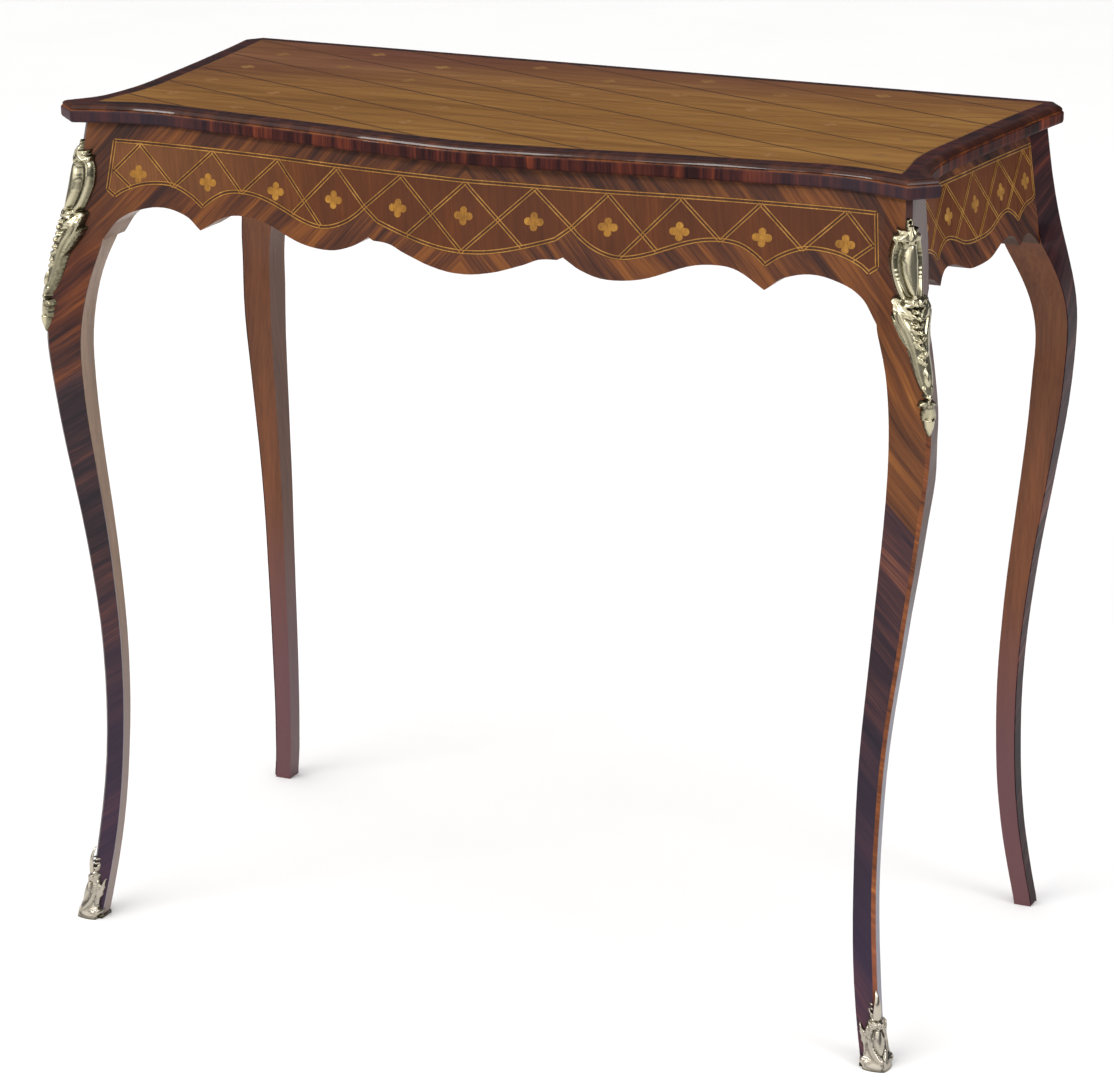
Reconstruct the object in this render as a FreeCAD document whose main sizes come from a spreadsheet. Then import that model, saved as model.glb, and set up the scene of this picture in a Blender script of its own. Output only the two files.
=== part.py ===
import FreeCAD, Part
import math
import os
from FreeCAD import Vector as V

# Serpentine side table. Millimetres, +Z up, front of the table towards -Y.
doc = FreeCAD.newDocument("serpentine_side_table")
sheet = doc.addObject("Spreadsheet::Sheet", "Dims")
ROW = [1]


def dim(name, value):
    cell = "B%d" % ROW[0]
    sheet.set("A%d" % ROW[0], name)
    sheet.set(cell, str(value))
    sheet.setAlias(cell, name)
    ROW[0] += 1


# overall
dim("table_height", 760)
dim("depth_shift", 13.43)
# top
dim("top_underside", 744)
dim("veneer_thick", 1.2)
dim("band_out", 5.5)
dim("mould_in", 4.0)
dim("crossband_in", 14.0)
dim("light_line", 1.3)
dim("lattice_pitch_wide", 83.5)
dim("lattice_pitch_deep", 33.5)
dim("lattice_line", 1.4)
# frame
dim("apron_lean_front", 0.17)
dim("apron_lean_side", 0.13)
dim("apron_ref_height", 729)
dim("rail_end", 364)
dim("front_rail_back", -140)
dim("side_rail_inner", 352)
dim("side_rail_front", -118)
dim("side_rail_rear", 140)
dim("back_rail_front", 142)
dim("back_rail_thick", 22)
dim("back_rail_low", 668)
dim("tenon_length", 20)
dim("tenon_thick", 8)
dim("tenon_low", 674)
dim("tenon_tall", 50)
dim("peg_dia", 6)
dim("leg_veneer", 1.0)
dim("face_veneer", 1.0)
dim("string_wide", 4.2)
# blocks and screws
dim("block_leg", 38)
dim("block_tall", 32)
dim("rail_block_long", 70)
dim("rail_block_deep", 24)
dim("screw_dia", 4.0)
dim("screw_head_dia", 8.0)
dim("screw_bite", 12)
# mounts
dim("pin_dia", 2.0)
dim("sabot_tall", 66)
doc.recompute()


def D(name):
    return float(sheet.get(name))


Y0 = D("depth_shift")
ZT = D("table_height")
ZU = D("top_underside")
TV = D("veneer_thick")
FV = D("face_veneer")
LV = D("leg_veneer")
ZREF = D("apron_ref_height")
LEANF = D("apron_lean_front")
LEANS = D("apron_lean_side")


def curve_fn(xs, ys):
    # smooth interpolation through the given points (cubic Hermite)
    n = len(xs)
    h = [xs[i + 1] - xs[i] for i in range(n - 1)]
    d = [(ys[i + 1] - ys[i]) / h[i] for i in range(n - 1)]
    m = [d[0]] + [0.0] * (n - 2) + [d[-1]]
    for i in range(1, n - 1):
        if d[i - 1] * d[i] > 0:
            w1 = 2 * h[i] + h[i - 1]
            w2 = h[i] + 2 * h[i - 1]
            m[i] = (w1 + w2) / (w1 / d[i - 1] + w2 / d[i])

    def f(x):
        if x <= xs[0]:
            return ys[0] + m[0] * (x - xs[0])
        if x >= xs[-1]:
            return ys[-1] + m[-1] * (x - xs[-1])
        i = 0
        while x > xs[i + 1]:
            i += 1
        t = (x - xs[i]) / h[i]
        return (ys[i] * (1 + 2 * t) * (1 - t) ** 2 + m[i] * h[i] * t * (1 - t) ** 2
                + ys[i + 1] * t * t * (3 - 2 * t) + m[i + 1] * h[i] * t * t * (t - 1))
    return f


def spline(points):
    if len(points) == 2:
        return Part.makeLine(points[0], points[1])
    b = Part.BSplineCurve()
    b.interpolate(points)
    return b.toShape()


def poly_face(points):
    return Part.Face(Part.makePolygon(list(points) + [points[0]]))


def node(label, shape):
    o = doc.addObject("Part::Feature", label)
    o.Label = label
    o.Shape = shape
    o.Placement = FreeCAD.Placement()
    NODES.append(o)
    return o


def mirrored(shape):
    return shape.mirror(V(0, 0, 0), V(1, 0, 0))


def group(shapes):
    out = []
    for s in shapes:
        out += s.Solids
    return Part.makeCompound(out)


def box(x0, x1, y0, y1, z0, z1):
    return Part.makeBox(x1 - x0, y1 - y0, z1 - z0, V(x0, y0, z0))


NODES = []

# ---------------------------------------------------------------- plan curves
# visible face of the front apron at the reference height, against x
front_face = curve_fn([0, 62, 127, 189, 257, 325, 345, 364, 372], [-186.5, -182.7, -177, -169, -163.2, -161, -161.4, -163.5, -165])
# visible face of the side apron at the reference height, against y
side_face = curve_fn([-120, -100, -80, -60, -40, 0, 40, 80, 120, 142],
                     [372, 368.5, 366.5, 366.5, 368, 372, 375.5, 379.5, 384, 386.5])
# lip line of the top, right half
LIP_FRONT = [(0, -196), (50, -192), (78, -189), (157, -177.5), (230, -168.5), (289, -161.5), (312, -160),
             (338, -162), (365, -168.5), (387.5, -176)]
LIP_SIDE = [(403, -162), (394, -150), (387, -138), (381.5, -112), (379.5, -85), (380, -60), (383, -25),
            (386.5, 15), (390, 50), (394, 85), (398, 120), (401.5, 145), (403.5, 158)]
LIP_BACK = (393.5, 172)


def dense(points, n):
    b = Part.BSplineCurve()
    b.interpolate([V(p[0], p[1], 0) for p in points])
    e = b.toShape()
    return [(p.x, p.y) for p in e.discretize(n)]


def lip_segments():
    # closed run of segments, counter-clockwise seen from above, starting front left
    full_front = [(-p[0], p[1]) for p in reversed(LIP_FRONT[1:])] + LIP_FRONT
    fr = dense(full_front, 61)
    rt = dense(LIP_SIDE, 41)
    bk = [(LIP_BACK[0] - i * LIP_BACK[0] / 4.0, LIP_BACK[1]) for i in range(9)]
    lf = [(-p[0], p[1]) for p in reversed(rt)]
    segs = [("front", fr), ("cant_fr", [fr[-1], rt[0]]), ("right", rt), ("cant_br", [rt[-1], bk[0]]),
            ("back", bk), ("cant_bl", [bk[-1], lf[0]]), ("left", lf), ("cant_fl", [lf[-1], fr[0]])]
    return [(n, [(p[0], p[1] + Y0) for p in s]) for n, s in segs]


LIP = lip_segments()


def tangent(pts, i):
    a = pts[max(0, i - 1)]
    b = pts[min(len(pts) - 1, i + 1)]
    d = math.hypot(b[0] - a[0], b[1] - a[1])
    return ((b[0] - a[0]) / d, (b[1] - a[1]) / d)


def offset_outline(r):
    # every lip segment moved outward by r, corners kept sharp
    moved = []
    for n, s in LIP:
        q = []
        for i, p in enumerate(s):
            t = tangent(s, i)
            q.append((p[0] + t[1] * r, p[1] - t[0] * r))
        moved.append(q)
    count = len(LIP)
    corners = []
    for k in range(count):
        a, b = moved[k], moved[(k + 1) % count]
        ta = tangent(LIP[k][1], len(LIP[k][1]) - 1)
        tb = tangent(LIP[(k + 1) % count][1], 0)
        den = ta[0] * tb[1] - ta[1] * tb[0]
        dx, dy = b[0][0] - a[-1][0], b[0][1] - a[-1][1]
        s = (dx * tb[1] - dy * tb[0]) / den
        corners.append((a[-1][0] + ta[0] * s, a[-1][1] + ta[1] * s))
    out = {}
    for k in range(count):
        q = moved[k]
        c0, c1 = corners[k - 1], corners[k]
        e0 = (c0[0] - q[0][0], c0[1] - q[0][1])
        e1 = (c1[0] - q[-1][0], c1[1] - q[-1][1])
        n = len(q)
        reach = 1.0 if n == 2 else 12.0 / 60.0
        res = []
        for i, p in enumerate(q):
            u = i / float(n - 1)
            w0 = max(0.0, 1 - u / reach) if n > 2 else 1 - u
            w1 = max(0.0, 1 - (1 - u) / reach) if n > 2 else u
            w0, w1 = (w0, w1) if n == 2 else (w0 * w0, w1 * w1)
            res.append((p[0] + e0[0] * w0 + e1[0] * w1, p[1] + e0[1] * w0 + e1[1] * w1))
        res[0], res[-1] = c0, c1
        out[LIP[k][0]] = res
    return out


def outline_wire(off, z):
    edges = []
    for n, s in LIP:
        edges.append(spline([V(p[0], p[1], z) for p in off[n]]))
    return Part.Wire(edges)


ORDER = [n for n, s in LIP]

# ---------------------------------------------------------------- top board
edge_off = offset_outline(-D("mould_in"))
board = Part.Face(outline_wire(edge_off, ZU)).extrude(V(0, 0, ZT - TV - ZU))

# edge mouldings: (distance outside the lip line, height)
BO = D("band_out")
PROFILE = [(-D("mould_in"), ZT), (0, ZT), (2.2, ZT - 0.7), (3.8, ZT - 2.0), (4.4, ZT - 3.4), (3.9, ZT - 4.2),
           (BO - 0.6, ZT - 5.0), (BO, ZT - 6.2), (BO, ZT - 12.4), (BO - 0.4, ZT - 14.2), (BO - 1.5, ZT - 15.4),
           (2.2, ZU), (-D("mould_in"), ZU)]
OFFS = [offset_outline(r) for r, z in PROFILE]


def moulding(name):
    edges = []
    for (r, z), off in zip(PROFILE, OFFS):
        edges.append(spline([V(p[0], p[1], z) for p in off[name]]))
    faces = []
    n = len(edges)
    for i in range(n):
        faces.append(Part.makeRuledSurface(edges[i], edges[(i + 1) % n]))
    for end in (0, -1):
        faces.append(poly_face([V(off[name][end][0], off[name][end][1], z) for (r, z), off in zip(PROFILE, OFFS)]))
    sh = Part.Shell(faces)
    sh.sewShape()
    s = Part.Solid(sh)
    s.fix(0.01, 0.01, 0.05)
    if s.Volume < 0:
        s.reverse()
    return s


EDGE = {n: moulding(n) for n in ORDER}

# ---------------------------------------------------------------- top veneers
ZV = ZT - TV
CB = D("crossband_in")
FRONT_IN = [(p[0], p[1] + Y0 + CB) for p in [(-q[0], q[1]) for q in reversed(LIP_FRONT[1:])] + LIP_FRONT]
SIDE_PLAIN = [(391, -176), (388.5, -150), (385.5, -130), (381.5, -108), (379.5, -85), (380, -60), (383, -25), (386.5, 15),
              (390, 50), (394, 85), (398, 120), (401.5, 145), (404, 172)]


def inner_frame(extra):
    # field boundary: front curve, right curve, back line, left curve, meeting in four points
    ff = dense([(p[0], p[1] + extra) for p in FRONT_IN], 241)
    rr = dense([(p[0] - CB - extra, p[1] + Y0) for p in SIDE_PLAIN], 241)
    yb = LIP_BACK[1] + Y0 - CB * 0.7 - extra
    fx = curve_fn([p[0] for p in ff], [p[1] for p in ff])
    right = [p for p in rr if p[1] > fx(p[0]) + 1.0 and p[1] < yb - 1.0]
    first, last = right[0], right[-1]
    i0, i1 = rr.index(first), rr.index(last)
    a, b = rr[i0 - 1], first
    for k in range(40):
        m = ((a[0] + b[0]) / 2, (a[1] + b[1]) / 2)
        if m[1] > fx(m[0]):
            b = m
        else:
            a = m
    c0 = b
    a, b = last, rr[i1 + 1]
    t = (yb - a[1]) / (b[1] - a[1])
    c1 = (a[0] + (b[0] - a[0]) * t, yb)
    right = [c0] + right[2:-2:6] + [c1]
    front = [(-c0[0], c0[1])] + [p for p in ff if abs(p[0]) < c0[0] - 2][::6] + [c0]
    front = [(x, y if abs(x) == c0[0] else (fx(x) + fx(-x)) / 2) for x, y in front]
    left = [(-p[0], p[1]) for p in reversed(right)]
    back = [c1, (-c1[0], yb)]
    return {"front": front, "right": right, "back": back, "left": left}


IN_A = inner_frame(0.0)
IN_B = inner_frame(D("light_line"))


def edge_of(points, z):
    return spline([V(p[0], p[1], z) for p in points])


def ring_wire(fr, z):
    return Part.Wire([edge_of(fr[k], z) for k in ("front", "right", "back", "left")])


def mid(a, b):
    return ((a[0] + b[0]) / 2.0, (a[1] + b[1]) / 2.0)


CORNER = {"fr": mid(*edge_off["cant_fr"]), "br": mid(*edge_off["cant_br"]),
          "bl": mid(*edge_off["cant_bl"]), "fl": mid(*edge_off["cant_fl"])}


def crossband(side):
    ca, cb = {"front": ("fl", "fr"), "right": ("fr", "br"), "back": ("br", "bl"), "left": ("bl", "fl")}[side]
    outer, inner = edge_off[side], IN_A[side]
    P = lambda q: V(q[0], q[1], ZV)
    w = [Part.makeLine(P(CORNER[ca]), P(outer[0])), edge_of(outer, ZV), Part.makeLine(P(outer[-1]), P(CORNER[cb])),
         Part.makeLine(P(CORNER[cb]), P(inner[-1])), edge_of(inner, ZV), Part.makeLine(P(inner[0]), P(CORNER[ca]))]
    return Part.Face(Part.Wire(Part.__sortEdges__(w))).extrude(V(0, 0, TV))


BANDS = {s: crossband(s) for s in ("front", "back", "left", "right")}
LIGHT = []
for side in ("front", "right", "back", "left"):
    a, b = IN_A[side], IN_B[side]
    P = lambda q: V(q[0], q[1], ZV)
    w = [edge_of(a, ZV), Part.makeLine(P(a[-1]), P(b[-1])), edge_of(b, ZV), Part.makeLine(P(b[0]), P(a[0]))]
    LIGHT.append(Part.Face(Part.Wire(Part.__sortEdges__(w))).extrude(V(0, 0, TV)))

field = Part.Face(ring_wire(IN_B, ZV))
PW, PD = D("lattice_pitch_wide"), D("lattice_pitch_deep")
NODE_Y = 3.5 + Y0
half = D("lattice_line") / 2.0
strips = []
length = math.hypot(PW, PD)
ux, uy = PW / length, PD / length
for sgn in (1, -1):
    for k in range(-9, 10):
        c = (0.0, NODE_Y + 2 * PD * k)
        a, b = 1100.0, half
        d = (ux, sgn * uy)
        n = (-d[1], d[0])
        strips.append(poly_face([V(c[0] - a * d[0] - b * n[0], c[1] - a * d[1] - b * n[1], ZV),
                                 V(c[0] + a * d[0] - b * n[0], c[1] + a * d[1] - b * n[1], ZV),
                                 V(c[0] + a * d[0] + b * n[0], c[1] + a * d[1] + b * n[1], ZV),
                                 V(c[0] - a * d[0] + b * n[0], c[1] - a * d[1] + b * n[1], ZV)]))
lattice = strips[0].multiFuse(strips[1:]).common(field)
tiles = field.cut(lattice)


def quatrefoil_wire(cx, cy, r, make):
    # four round lobes in a cross, one closed outline of four arcs
    e = []
    inner = r * 0.30
    for k in range(4):
        a = math.pi / 2 * k
        tip = (cx + r * math.cos(a), cy + r * math.sin(a))
        j0 = (cx + inner * math.sqrt(2) * math.cos(a - math.pi / 4), cy + inner * math.sqrt(2) * math.sin(a - math.pi / 4))
        j1 = (cx + inner * math.sqrt(2) * math.cos(a + math.pi / 4), cy + inner * math.sqrt(2) * math.sin(a + math.pi / 4))
        e.append(Part.Arc(make(*j0), make(*tip), make(*j1)).toShape())
    return Part.Wire(e)


inside = Part.Face(ring_wire(inner_frame(12.0), ZV))
foils = []
for i in range(-5, 6):
    for j in range(-6, 7):
        if (i + j) % 2 == 0:
            continue
        c = (i * PW, NODE_Y + j * PD)
        if inside.isInside(V(c[0], c[1], ZV), 0.01, True):
            foils.append(Part.Face(quatrefoil_wire(c[0], c[1], 7.5, lambda x, y: V(x, y, ZV))))
tiles = tiles.cut(Part.makeCompound(foils))
TILES = Part.makeCompound([f.extrude(V(0, 0, TV)) for f in tiles.Faces])
lattice = lattice.removeSplitter()
LATTICE = Part.makeCompound([f.extrude(V(0, 0, TV)) for f in lattice.Faces])
FOILS = Part.makeCompound([f.extrude(V(0, 0, TV)) for f in foils])

# ---------------------------------------------------------------- legs
ZS = [0, 20, 40, 60, 80, 100, 130, 160, 200, 240, 280, 320, 360, 400, 440, 480, 520, 545, 565, 585, 606, 625, 640]
ZP = [640, 646, 652, 656, 659, 666, 680, 700, 722, ZU]
RE = D("rail_end")
low_z = [0, 20, 40, 60, 80, 100, 120, 140, 160, 200, 240, 280, 320, 360, 400, 440, 480, 520]
b_x = curve_fn(low_z, [395, 392, 389.2, 386.8, 384.6, 383, 381.7, 380.8, 380.3, 379.9, 380.6, 382.4, 385.2, 388.9, 393.2, 397.5, 401.3, 403.5])
b_y = curve_fn(low_z, [177, 174.5, 171, 167.3, 164, 161.2, 158.7, 156.9, 155.6, 153.9, 153.9, 155.9, 159, 162.4, 166.4, 170.2, 173.7, 177.3])
b_a = curve_fn(low_z, [17, 17, 17.2, 17.4, 17.5, 17.7, 18, 18.2, 18.4, 18.7, 19.3, 19.9, 21.2, 22.5, 24.4, 26.2, 28.4, 29.6])
up_z = [520, 545, 565, 585, 606, 625, 640, 660, 695, 745]
x_out = curve_fn(up_z, [418.2, 419.2, 419.3, 417.9, 414.7, 411.0, 408, 404.2, 398.9, 393.5])
x_in = curve_fn(up_z, [388.7, 389.5, 388.0, 383.6, 376.2, 368.4, RE, RE, RE, RE])
by_back = curve_fn(up_z, [192.1, 193.6, 193.8, 192.4, 189.2, 185.4, 182, 178, 172.2, 166.5])
by_in = curve_fn(up_z, [161.3, 163.2, 162.8, 160.3, 155.3, 148.2, 140, 140, 140, 140])
taper = curve_fn([520, 565, 606, 640, 660, 740], [0.0, 0.0, 0.22, 0.75, 1.0, 1.0])
# the front leg is wider than deep: outer, inner, front and rear faces against height; its front face turns
# forward from the apron to the corner, and its rear edge stands a little proud of the side apron
leg_z = [0, 40, 80, 120, 160, 200, 240, 280, 320, 360, 400, 440, 480]
top_z = [520, 545, 565, 585, 606, 625, 640, 660, 680, 700, 722, 745]
f_out = curve_fn(leg_z + top_z, [394.5, 388.2, 383.6, 379.8, 377.7, 377.7, 379.0, 381.9, 386.7, 392.5, 398.3, 404.8, 410.4,
                                 415.5, 417.4, 417.1, 414.6, 410.4, 405.4, 401.5, 397.0, 392.9, 390.0, 387.9, 386.0])
f_in = curve_fn(leg_z + top_z, [376.5, 369.3, 363.6, 360.1, 358.4, 357.7, 358.1, 359.9, 363.1, 366.7, 370.7, 375.1, 379.1,
                                381.7, 382.1, 381.0, 378.5, 374.0, 368.0, RE, RE, RE, RE, RE, RE])
f_front = curve_fn(leg_z + top_z, [-212.3, -206.5, -200.5, -195.1, -190.9, -187.8, -186.0, -185.0, -184.7, -185.1, -187.3,
                                   -190.0, -192.5, -193.7, -194.9, -194.4, -193.0, -190.5, -188.2, -185.6, -181.1, -178.0,
                                   -174.2, -169.5, -164.2])
f_swing = curve_fn([0, 520, 545, 565, 585, 606, 625, 640], [0.0, 0.0, 1.1, 2.4, 4.0, 5.5, 6.7, 6.97])
f_rear = curve_fn(leg_z + top_z[:7] + [646, 652, 656, 659, 700, 745],
                  [-197.8, -193.0, -188.0, -183.1, -178.9, -175.4, -173.2, -171.6, -170.5, -170.3, -170.9, -171.6, -171.5,
                   -171.2, -170.8, -169.6, -167.5, -164.8, -160.5, -152.0, -146.0, -137.0, -128.0, -118.0, -118.0, -118.0])
f_side = curve_fn([0, 520, 545, 565, 585, 606, 625, 640, 646, 652, 656, 659, 666, 685, 710, 731, 745],
                  [0.0, 0.0, 1.8, 1.5, 1.3, 0.8, 0.4, 2.2, 3.7, 6.3, 8.4, 10.4, 9.7, 6.5, 5.0, 5.1, 5.2])
f_cant = curve_fn([0, 520, 640, 745], [3.0, 3.0, 4.4, 4.4])


def section(rear, z):
    # corner points of one leg section, right-hand legs
    if not rear:
        xo, yo = f_out(z), f_front(z)
        ya = yo + f_swing(z) if z < 640 else front_face(RE) + LEANF * (z - ZREF)
        return xo, f_in(z), yo + Y0, f_rear(z) + Y0, xo - f_side(z), f_cant(z), ya + Y0
    goal = side_face(D("side_rail_rear")) + LEANS * (ZREF - z)
    if z <= 520:
        cx, cy, a = b_x(z), b_y(z), b_a(z)
        xo, xi = cx + a / 2, cx - a / 2
        y_out, y_in = cy + a / 2, cy - a / 2 - 1.2
        xe = xo
    else:
        xo, xi = x_out(z), x_in(z)
        y_out, y_in = by_back(z), by_in(z)
        xe = xo + (goal - xo) * taper(z)
    return xo, xi, y_out + Y0, y_in + Y0, xe, 0.16 * min(xo - xi, 30.0)


def front_points(z, out=0.0):
    xo, xi, yo, yi, xe, c, ya = section(False, z)
    xo, xi, yo, yi, xe, ya = xo + out, xi - out, yo - out, yi + out, xe + out, ya - out
    t = LV if out == 0.0 else 0.0
    k = math.tan(math.pi / 8)
    A, B, C, E, G = (xi, ya), (xo - c, yo), (xo, yo + c), (xe, yi), (xi, yi)
    A1, B1, C1 = (xi, ya + t), (xo - c - k * t, yo + t), (xo - t, yo + c + k * t)
    E1 = (xe - t, yi)
    return A, B, C, E, G, A1, B1, C1, E1


def rear_points(z):
    xo, xi, yo, yi, xe, c = section(True, z)
    t = LV
    A, B, C, E, G = (xi, yo), (xo - c, yo), (xo, yo - c), (xe, yi), (xi, yi)
    C1, E1 = (xo - t, yo - c), (xe - t, yi)
    return A, B, C, E, G, C1, E1


def loft(rows, ruled=False):
    wires = []
    for z, pts in rows:
        v = [V(p[0], p[1], z) for p in pts]
        wires.append(Part.makePolygon(v + [v[0]]))
    s = Part.makeLoft(wires, True, ruled)
    if s.Volume < 0:
        s.reverse()
    return s


def leg_loft(points, pick, low):
    # swept cabriole part below, square post of the same section above
    shank = loft([(z, [points(z)[i] for i in pick]) for z in low])
    post = loft([(z, [points(z)[i] for i in pick]) for z in ZP], True)
    s = shank.fuse(post)
    return s.Solids[0]


FOOT = 3.0
fz = [FOOT] + ZS[1:]
core_f = leg_loft(front_points, (5, 6, 7, 8, 4), fz)
face_f = leg_loft(front_points, (0, 1, 6, 5), fz)
arris_f = leg_loft(front_points, (1, 2, 7, 6), fz)
flank_f = leg_loft(front_points, (2, 3, 8, 7), fz)
full_f = leg_loft(front_points, (0, 1, 2, 3, 4), fz)
core_b = leg_loft(rear_points, (0, 1, 2, 5, 6, 4), ZS)
flank_b = leg_loft(rear_points, (2, 3, 6, 5), [2.0] + ZS[1:])

# ---------------------------------------------------------------- rails
LOWER = [[(0, 650.5), (12, 651), (24, 652.8), (36, 655.6), (48, 659.6), (60, 663.8), (68, 667.2), (76, 668.6), (86, 668.8)],
         [(86, 668.8), (91, 671.2)],
         [(91, 671.2), (97, 667.5), (103, 663.8), (112, 660), (122, 657), (132, 655.8), (144, 656), (157, 657.6),
          (170, 661), (184, 666.3), (194, 669.9), (204, 672.6), (214, 673.9), (224, 674.2), (234, 673.2), (245, 669.4),
          (256, 662.9), (265, 657.5)],
         [(265, 657.5), (271, 662), (276, 666), (286, 670.3), (296, 672.7), (307, 673.4), (317, 672.3), (327.5, 669.6),
          (338, 666), (346, 661.5), (352, 656.5), (358, 648.5), (RE, 640)]]
SIDE_HALF = [[(0, 647), (10, 647.2), (24, 648.8), (38, 653.7), (52, 658), (62, 658.8), (70, 657), (77, 652), (82, 646.5)],
             [(82, 646.5), (88, 651), (94, 653.6), (101, 653.6), (109, 649.5), (115, 645), (120, 640)]]
SIDE_FORE = [SIDE_HALF[0], [(82, 646.5), (88, 650.5), (95, 654), (104, 657), (114, 659), (124, 660), (132, 659.6), (138, 659)]]
SIDE_MID = 20.0


def lower_cutter(segs, mirror_segs, make, lo):
    # solid that lies below a mirrored lower profile
    edges = []
    left = [[(-p[0], p[1]) for p in reversed(s)] for s in reversed(mirror_segs)]
    for s in left + segs:
        edges.append(spline([make(p[0], p[1]) for p in s]))
    a, b = left[0][0], segs[-1][-1]
    edges.append(Part.makeLine(make(b[0], b[1]), make(b[0], lo)))
    edges.append(Part.makeLine(make(b[0], lo), make(a[0], lo)))
    edges.append(Part.makeLine(make(a[0], lo), make(a[0], a[1])))
    return Part.Face(Part.Wire(edges))


FR_LOW = lower_cutter(LOWER, LOWER, lambda x, z: V(x, -320, z), 600).extrude(V(0, 400, 0))


def front_slab(y_a, y_b, half_x, z0, z1):
    # leaning slab between two copies of the apron face, moved back by y_a and y_b
    n = 28
    xs = [-half_x + 2.0 * half_x * i / n for i in range(n + 1)]
    top = [front_face(abs(x)) + LEANF * (z1 - ZREF) + Y0 for x in xs]
    e1 = spline([V(x, y + y_a, z1) for x, y in zip(xs, top)])
    if y_b is None:
        p0, p1 = V(xs[0], -60, z1), V(xs[-1], -60, z1)
        e2 = Part.makeLine(p0, p1)
    else:
        e2 = spline([V(x, y + y_b, z1) for x, y in zip(xs, top)])
        p0, p1 = V(xs[0], top[0] + y_b, z1), V(xs[-1], top[-1] + y_b, z1)
    w = Part.Wire(Part.__sortEdges__([e1, Part.makeLine(V(xs[0], top[0] + y_a, z1), p0), e2,
                                      Part.makeLine(V(xs[-1], top[-1] + y_a, z1), p1)]))
    h = z1 - z0
    return Part.Face(w).extrude(V(0, -LEANF * h, -h))


def side_slab(x_a, x_b, y0, y1, z0, z1):
    n = 16
    ys = [y0 + (y1 - y0) * i / n for i in range(n + 1)]
    top = [side_face(y) + LEANS * (ZREF - z1) for y in ys]
    e1 = spline([V(x + x_a, y + Y0, z1) for x, y in zip(top, ys)])
    if x_b is None:
        p0, p1 = V(300, ys[0] + Y0, z1), V(300, ys[-1] + Y0, z1)
        e2 = Part.makeLine(p0, p1)
    else:
        e2 = spline([V(x + x_b, y + Y0, z1) for x, y in zip(top, ys)])
        p0, p1 = V(top[0] + x_b, ys[0] + Y0, z1), V(top[-1] + x_b, ys[-1] + Y0, z1)
    w = Part.Wire(Part.__sortEdges__([e1, Part.makeLine(V(top[0] + x_a, ys[0] + Y0, z1), p0), e2,
                                      Part.makeLine(V(top[-1] + x_a, ys[-1] + Y0, z1), p1)]))
    h = z1 - z0
    return Part.Face(w).extrude(V(LEANS * h, 0, -h))


ZLO = 636.0
FB = D("front_rail_back") + Y0
front_rail = front_slab(FV, None, RE, ZLO, ZU).common(box(-RE, RE, -320, FB, ZLO, ZU)).cut(FR_LOW)

SF, SR = D("side_rail_front"), D("side_rail_rear")
SI = D("side_rail_inner")
side_low = lower_cutter(SIDE_HALF, SIDE_FORE, lambda s, z: V(280, SIDE_MID + s + Y0, z), 600).extrude(V(200, 0, 0))
right_rail = side_slab(-FV, None, SF, SR, ZLO, ZU).common(box(SI, 460, SF + Y0, SR + Y0, ZLO, ZU)).cut(side_low)

# tenons and their mortises
TL, TT = D("tenon_length"), D("tenon_thick")
TZ, TH = D("tenon_low"), D("tenon_tall")
ten_front = box(RE, RE + TL - 4, -152 + Y0, -152 + TT + Y0, TZ, TZ + TH)
ten_side_f = box(RE + 1, RE + 1 + 6, SF - TL + Y0, SF + Y0, TZ, TZ + TH)
ten_side_b = box(RE + 6, RE + 6 + TT, SR + Y0, SR + 16 + Y0, TZ, TZ + TH)
ten_back = box(RE, RE + 5, 149 + Y0, 149 + TT + Y0, TZ, TZ + TH)
front_rail = front_rail.multiFuse([ten_front, mirrored(ten_front)])
right_rail = right_rail.multiFuse([ten_side_f, ten_side_b])

# pegs through the tenons
PR = D("peg_dia") / 2.0
PEGS = []
for z in (TZ + 14, TZ + 36):
    PEGS.append(Part.makeCylinder(PR, 17, V(RE + 7, -157 + Y0, z), V(0, 1, 0)))
    PEGS.append(Part.makeCylinder(PR, 12, V(RE + 0.5, SF - 9 + Y0, z), V(1, 0, 0)))
    PEGS.append(Part.makeCylinder(PR, 14, V(RE + 3, SR + 8 + Y0, z), V(1, 0, 0)))
peg_cut = Part.makeCompound(PEGS)
front_rail = front_rail.cut(peg_cut).cut(mirrored(peg_cut))
right_rail = right_rail.cut(peg_cut)
core_f = core_f.cut(Part.makeCompound([ten_front, ten_side_f])).cut(peg_cut)
core_b = core_b.cut(Part.makeCompound([ten_side_b, ten_back])).cut(peg_cut)

# ---------------------------------------------------------------- apron veneers and inlay
SW = D("string_wide")


def strip(a, b, w, make):
    d = math.hypot(b[0] - a[0], b[1] - a[1])
    n = (-(b[1] - a[1]) / d * w / 2, (b[0] - a[0]) / d * w / 2)
    e = ((b[0] - a[0]) / d * w * 0.3, (b[1] - a[1]) / d * w * 0.3)
    return poly_face([make(a[0] - e[0] - n[0], a[1] - e[1] - n[1]), make(b[0] + e[0] - n[0], b[1] + e[1] - n[1]),
                      make(b[0] + e[0] + n[0], b[1] + e[1] + n[1]), make(a[0] - e[0] + n[0], a[1] - e[1] + n[1])])


def band_path(points, w, make):
    # strip of constant width along a smooth open path
    out_a, out_b = [], []
    for i, p in enumerate(points):
        t = tangent(points, i)
        out_a.append((p[0] - t[1] * w / 2, p[1] + t[0] * w / 2))
        out_b.append((p[0] + t[1] * w / 2, p[1] - t[0] * w / 2))
    e = [spline([make(*p) for p in out_a]), Part.makeLine(make(*out_a[-1]), make(*out_b[-1])),
         spline([make(*p) for p in out_b]), Part.makeLine(make(*out_a[0]), make(*out_b[0]))]
    return Part.Face(Part.Wire(Part.__sortEdges__(e)))


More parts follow.
